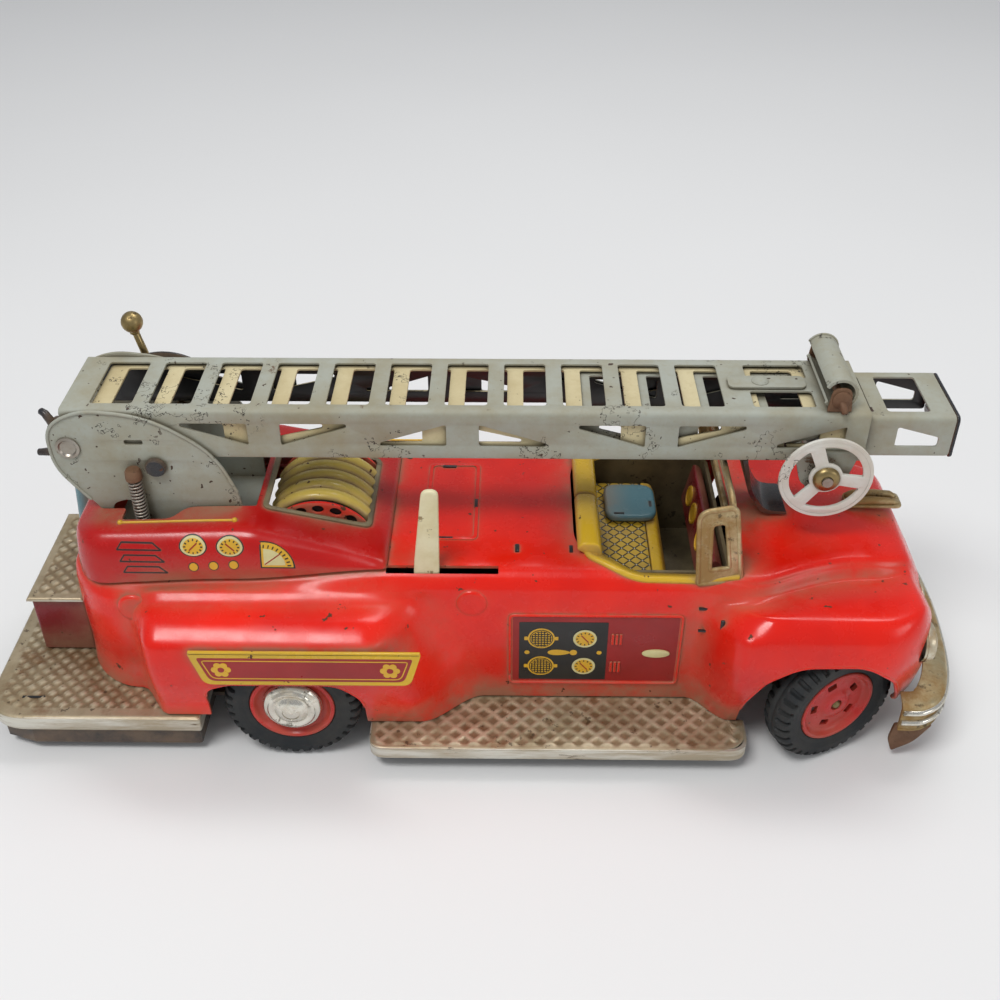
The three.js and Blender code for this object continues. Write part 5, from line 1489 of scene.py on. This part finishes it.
def number_plates():
    """Blank plates: a yellow border and a small rosette at each end, with nothing written on them."""
    face = rounded([(-31, 53.5, 1), (-27, 39.4, 3), (42, 39.4, 3), (46, 53.5, 1)], 1, 5)
    field = rounded([(-28.2, 51.6, 1), (-24.9, 41.2, 2.4), (39.9, 41.2, 2.4), (43.2, 51.6, 1)], 1, 5)
    rim = rounded([(-26.6, 50.4, 1), (-23.9, 42.4, 2), (38.9, 42.4, 2), (41.6, 50.4, 1)], 1, 4)
    for label, side in SIDES:
        name = f"number_plate_{label}"
        y = side * PLATE_Y
        ledge = box((-30.6, 45.6), (y - 0.5, y + 0.5), (53, 54.1))
        back = wall(face, [], y, 1.0, 0.15)
        fine(name, "chassis", "yellow_enamel", [back, ledge], bevel=0.12)
        art = Print(lambda x, z: PLATE_Y + 0.5, side)
        art.shape(field, 0, RED_INK)
        for x in (-20.5, 35.5):
            for i, petal in enumerate(circle(x, 46.4, 2.1, 6)):
                art.shape(circle(*petal, 1.25, 16), 1 + i % 2, YELLOW_INK)
            art.shape(circle(x, 46.4, 1.1, 16), 3, RED_INK)
        art.loop(rim, 0.4, 1, YELLOW_INK)
        art.build(f"plate_print_{label}", "chassis")


# ---- Boards, platform and step: embossed tread plate with folded silver edges ----
def lattice(x, y, pitch, line, soft=0.16):
    """1 on raised diagonal lines, 0 in the diamonds between them."""
    away = max(abs(((x + y) / pitch) % 1 - 0.5), abs(((x - y) / pitch) % 1 - 0.5))
    return smooth(0.5 - line - soft, 0.5 - line, away)


def tread(node, x0, x1, low_y, high_y, z, raised, drop, emboss, cell, margin):
    """A closed board `drop` thick, between two edges given as functions of x.

    Its top is a grid of `cell`, lifted by `emboss` where `raised` says, up to `margin` from the edges.
    """
    nx = math.ceil((x1 - x0) / cell)
    samples = [lerp(x0, x1, i / 40) for i in range(41)]
    ny = math.ceil(max(high_y(x) - low_y(x) for x in samples) / cell)
    mesh = bmesh.new()
    layer = mesh.verts.layers.float.new("raised")
    grid = []
    for i in range(nx + 1):
        share = i / nx
        x = lerp(x0, x1, share)
        a, b = low_y(x), high_y(x)
        row = []
        for j in range(ny + 1):
            y = lerp(a, b, j / ny)
            inside = min(x - x0, x1 - x, y - a, b - y)
            weight = smooth(margin, margin + 0.8, inside)
            lift = raised(x, y) * weight
            edge = 0.55 * (1 - math.sqrt(max(0, 1 - (1 - min(inside / 0.9, 1)) ** 2)))
            made = mesh.verts.new(metres((x, y, z - edge + lift * emboss)))
            made[layer] = lerp(0.6, raised(x, y), weight)
            row.append(made)
        grid.append(row)
    for i in range(nx):
        for j in range(ny):
            mesh.faces.new((grid[i][j], grid[i + 1][j], grid[i + 1][j + 1], grid[i][j + 1]))
    rim = [row[0] for row in grid] + grid[-1][1:]
    rim += [row[-1] for row in reversed(grid[:-1])] + grid[0][-2:0:-1]
    foot = [mesh.verts.new((v.co.x, v.co.y, (z - drop) * MM)) for v in rim]
    for i, v in enumerate(rim):
        k = (i + 1) % len(rim)
        mesh.faces.new((v, foot[i], foot[k], rim[k])).material_index = 1
    mesh.faces.new(foot[::-1]).material_index = 1
    bmesh.ops.recalc_face_normals(mesh, faces=mesh.faces)
    dress(settled(f"{node}_fine", mesh), "chassis", ["tread_plate", "silver_edge"], [node], 50)


def drawn_in(x, start, radius):
    """How far an edge has drawn in at x, on the way round a corner that begins at `start`."""
    share = min(max((x - start) / radius, 0), 1)
    return radius * (1 - math.sqrt(1 - share)) ** 2


def board_diamonds(x, y):
    return lattice(x, y, 6.6, 0.1)


def platform_diamonds(x, y):
    return 1 - lattice(x, y, 5.5, 0.14, 0.12)


def running_board(label, side):
    def outer(x):
        return 66 - drawn_in(x, 146, 12) - drawn_in(-x, -32, 6)

    def inner(x):
        return 39 + 12 * smooth(151.5, 153.5, x)

    edges = (inner, outer) if side > 0 else (lambda x: -outer(x), lambda x: -inner(x))
    tread(
        f"running_board_{label}", 26, 158, *edges, BOARD_Z - 0.3, board_diamonds,
        drop=1.2, emboss=0.42, cell=0.62, margin=1.6,
    )
    outline = rounded([(26.1, 39.4, 0.5), (26.1, 65.9, 6), (157.9, 65.9, 12), (157.9, 51.2, 1)], 2, 8)
    inside = rounded([(27.1, 38.4, 0.5), (27.1, 64.9, 5), (156.9, 64.9, 11), (156.9, 51, 1)], 2, 8)
    band = prism([(x, side * y) for x, y in outline + inside[::-1]], 6.8, BOARD_Z - 0.5)
    build(f"board_edge_{label}", "chassis", "silver_edge", [band], bevel=0.2)


def boards():
    for label, side in SIDES:
        running_board(label, side)

    def half(x):
        return 58.5 - drawn_in(-x, 94, 16)

    tread(
        "rear_platform", -110, -33, lambda x: -half(x), half, PLATFORM_Z - 0.3, platform_diamonds,
        drop=1.2, emboss=0.4, cell=0.72, margin=4.2,
    )
    outline = rounded([(-109.9, -58.4, 16), (-33.1, -58.4, 1), (-33.1, 58.4, 1), (-109.9, 58.4, 16)], 2, 10)
    inside = rounded([(-108.8, -57.3, 15), (-34.2, -57.3, 1), (-34.2, 57.3, 1), (-108.8, 57.3, 15)], 2, 10)
    band = plate(outline, [inside], 11.4, PLATFORM_Z - 0.6, "z", 0.25)
    build("platform_edge", "chassis", "silver_edge", [band])
    slit = box((-98, -90), (-49.4, -48.4), (PLATFORM_Z - 0.6, PLATFORM_Z + 0.08))
    build("platform_slit", "chassis", "ink", [slit])
    rear, front, wide = -97.5, BODY_REAR_X - 0.3, 24.3
    sides = prism(rectangle(rear, front, -wide, wide, 1.2), PLATFORM_Z + 0.3, 42)
    fine("step_box", "chassis", "dark_red_enamel", [sides], bevel=0.6, segments=3)
    tread(
        "step_box_lid", rear - 1.1, front, lambda x: -wide - 1.2, lambda x: wide + 1.2, 43.6, platform_diamonds,
        drop=1.3, emboss=0.4, cell=0.55, margin=2.6,
    )


def small_pieces():
    """The deck lever, and the legs of the figure that stands on the locker."""
    x, z = 46.5, 26
    arm = rounded([
        (x - 3.6, z - 5, 3), (x + 3.6, z - 5, 3), (x + 4.6, 66, 9),
        (x + 5.2, 101, 2.8), (x - 0.4, 101, 2.8), (x - 4.4, 66, 9),
    ], 3, 8)
    lever = wall(arm, [circle(x, z, 1.75, 20)], -36.8, 2.0, 0.5)
    fine("deck_lever", "switch_lever", "cream_plastic", [lever], sharp=60)
    legs, boots = [], []
    for y in (11, 19):
        joints = [(-85.3, y, 45), (-84.4, y, 52), (-83.4, y - 0.2, 59), (-82.4, y, 68), (-81.2, y + 0.3, 77)]
        legs.append(rod(joints, 3.3, 24, 4.3))
        boots.append(rod([(-86.4, y, 46), (-82.6, y, 45.9)], 1.6, 16))
    legs.append(prism(rectangle(8, 22, 70, 81, 3.4, 8), -84.4, -79, "x"))
    fine("operator_legs", "chassis", "teal_enamel", legs, bevel=0.4, segments=3, sharp=60)
    build("operator_boots", "chassis", "ink", boots, sharp=60)


# ---- The pieces that stay as the frame made them ----
FRAME_FINISHES = {
    "black_enamel": ["chassis_plate"],
    "cab_tin": ["cab_liner"],
    "bare_steel": ["rear_axle", "motor_flywheel", "stub_axle_right", "stub_axle_left", "winch_drum"],
    "rusty_steel": ["front_beam", "tie_rod", "motor_frame"],
}


def finish_frame_pieces():
    for finish, names in FRAME_FINISHES.items():
        for name in names:
            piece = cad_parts[name]
            piece.data.materials.clear()
            piece.data.materials.append(MATERIALS[finish])
            smoothed(piece, 35)


# ---- Floor, light and camera ----
FLOOR_REACH = 6  # metres from the middle
LIGHT_TARGET = Vector((0, 0, 0.06))
# place and size in metres, power in watts
LIGHTS = {
    "key": ((-0.35, -0.5, 1.15), (0.5, 0.32), 7.5),
    "top": ((0.25, 0.45, 1.2), (0.8, 0.3), 5),
    "side": ((1.1, -0.7, 0.5), (0.5, 0.4), 2),
}
ROOM_COLOUR = (0.93, 0.95, 1.0, 1)
ROOM_STRENGTH = 0.42
CAMERA_PLACE = (75.4, -348.0, 327.4)
CAMERA_TURN = (53.52, 0.05, 0.67)  # degrees
LENS, SENSOR = 43.18, 36


def studio():
    mesh = bmesh.new()
    bmesh.ops.create_grid(mesh, x_segments=2, y_segments=2, size=FLOOR_REACH)
    floor = settled("floor", mesh)
    paper = Paint("studio_floor", 0.85)
    paper.feed("Base Color", paper.mix(paper.noise(3, 2), (0.78, 0.78, 0.77), (0.82, 0.82, 0.81)))
    floor.data.materials.append(paper.material)
    world = bpy.data.worlds.new("soft_room")
    world.use_nodes = True
    world.node_tree.nodes["Background"].inputs["Color"].default_value = ROOM_COLOUR
    world.node_tree.nodes["Background"].inputs["Strength"].default_value = ROOM_STRENGTH
    bpy.context.scene.world = world
    for name, (place, size, power) in LIGHTS.items():
        lamp = bpy.data.lights.new(name, "AREA")
        lamp.shape = "RECTANGLE"
        lamp.size, lamp.size_y = size
        lamp.energy = power
        made = linked(name, lamp)
        made.location = place
        made.rotation_euler = (LIGHT_TARGET - Vector(place)).to_track_quat("-Z", "Y").to_euler()
    bpy.context.scene.view_settings.view_transform = "Standard"


def camera():
    optics = bpy.data.cameras.new("camera")
    optics.lens = LENS
    optics.sensor_width = SENSOR
    optics.clip_start = 0.01
    made = linked("camera", optics)
    made.location = metres(CAMERA_PLACE)
    made.rotation_euler = [math.radians(a) for a in CAMERA_TURN]
    bpy.context.scene.camera = made


# ---- The engine ----
body_shell()
for label, side in SIDES:
    side_panel(label, side)
rear_housing()
hose_reel()
wheels()
ladders()
ladder_bracket()
lift_gear()
winch()
roller()
cord_guide()
seats()
ladder_rest()
windshield()
dashboard()
bumper()
nose()
number_plates()
boards()
small_pieces()
finish_frame_pieces()
studio()
camera()
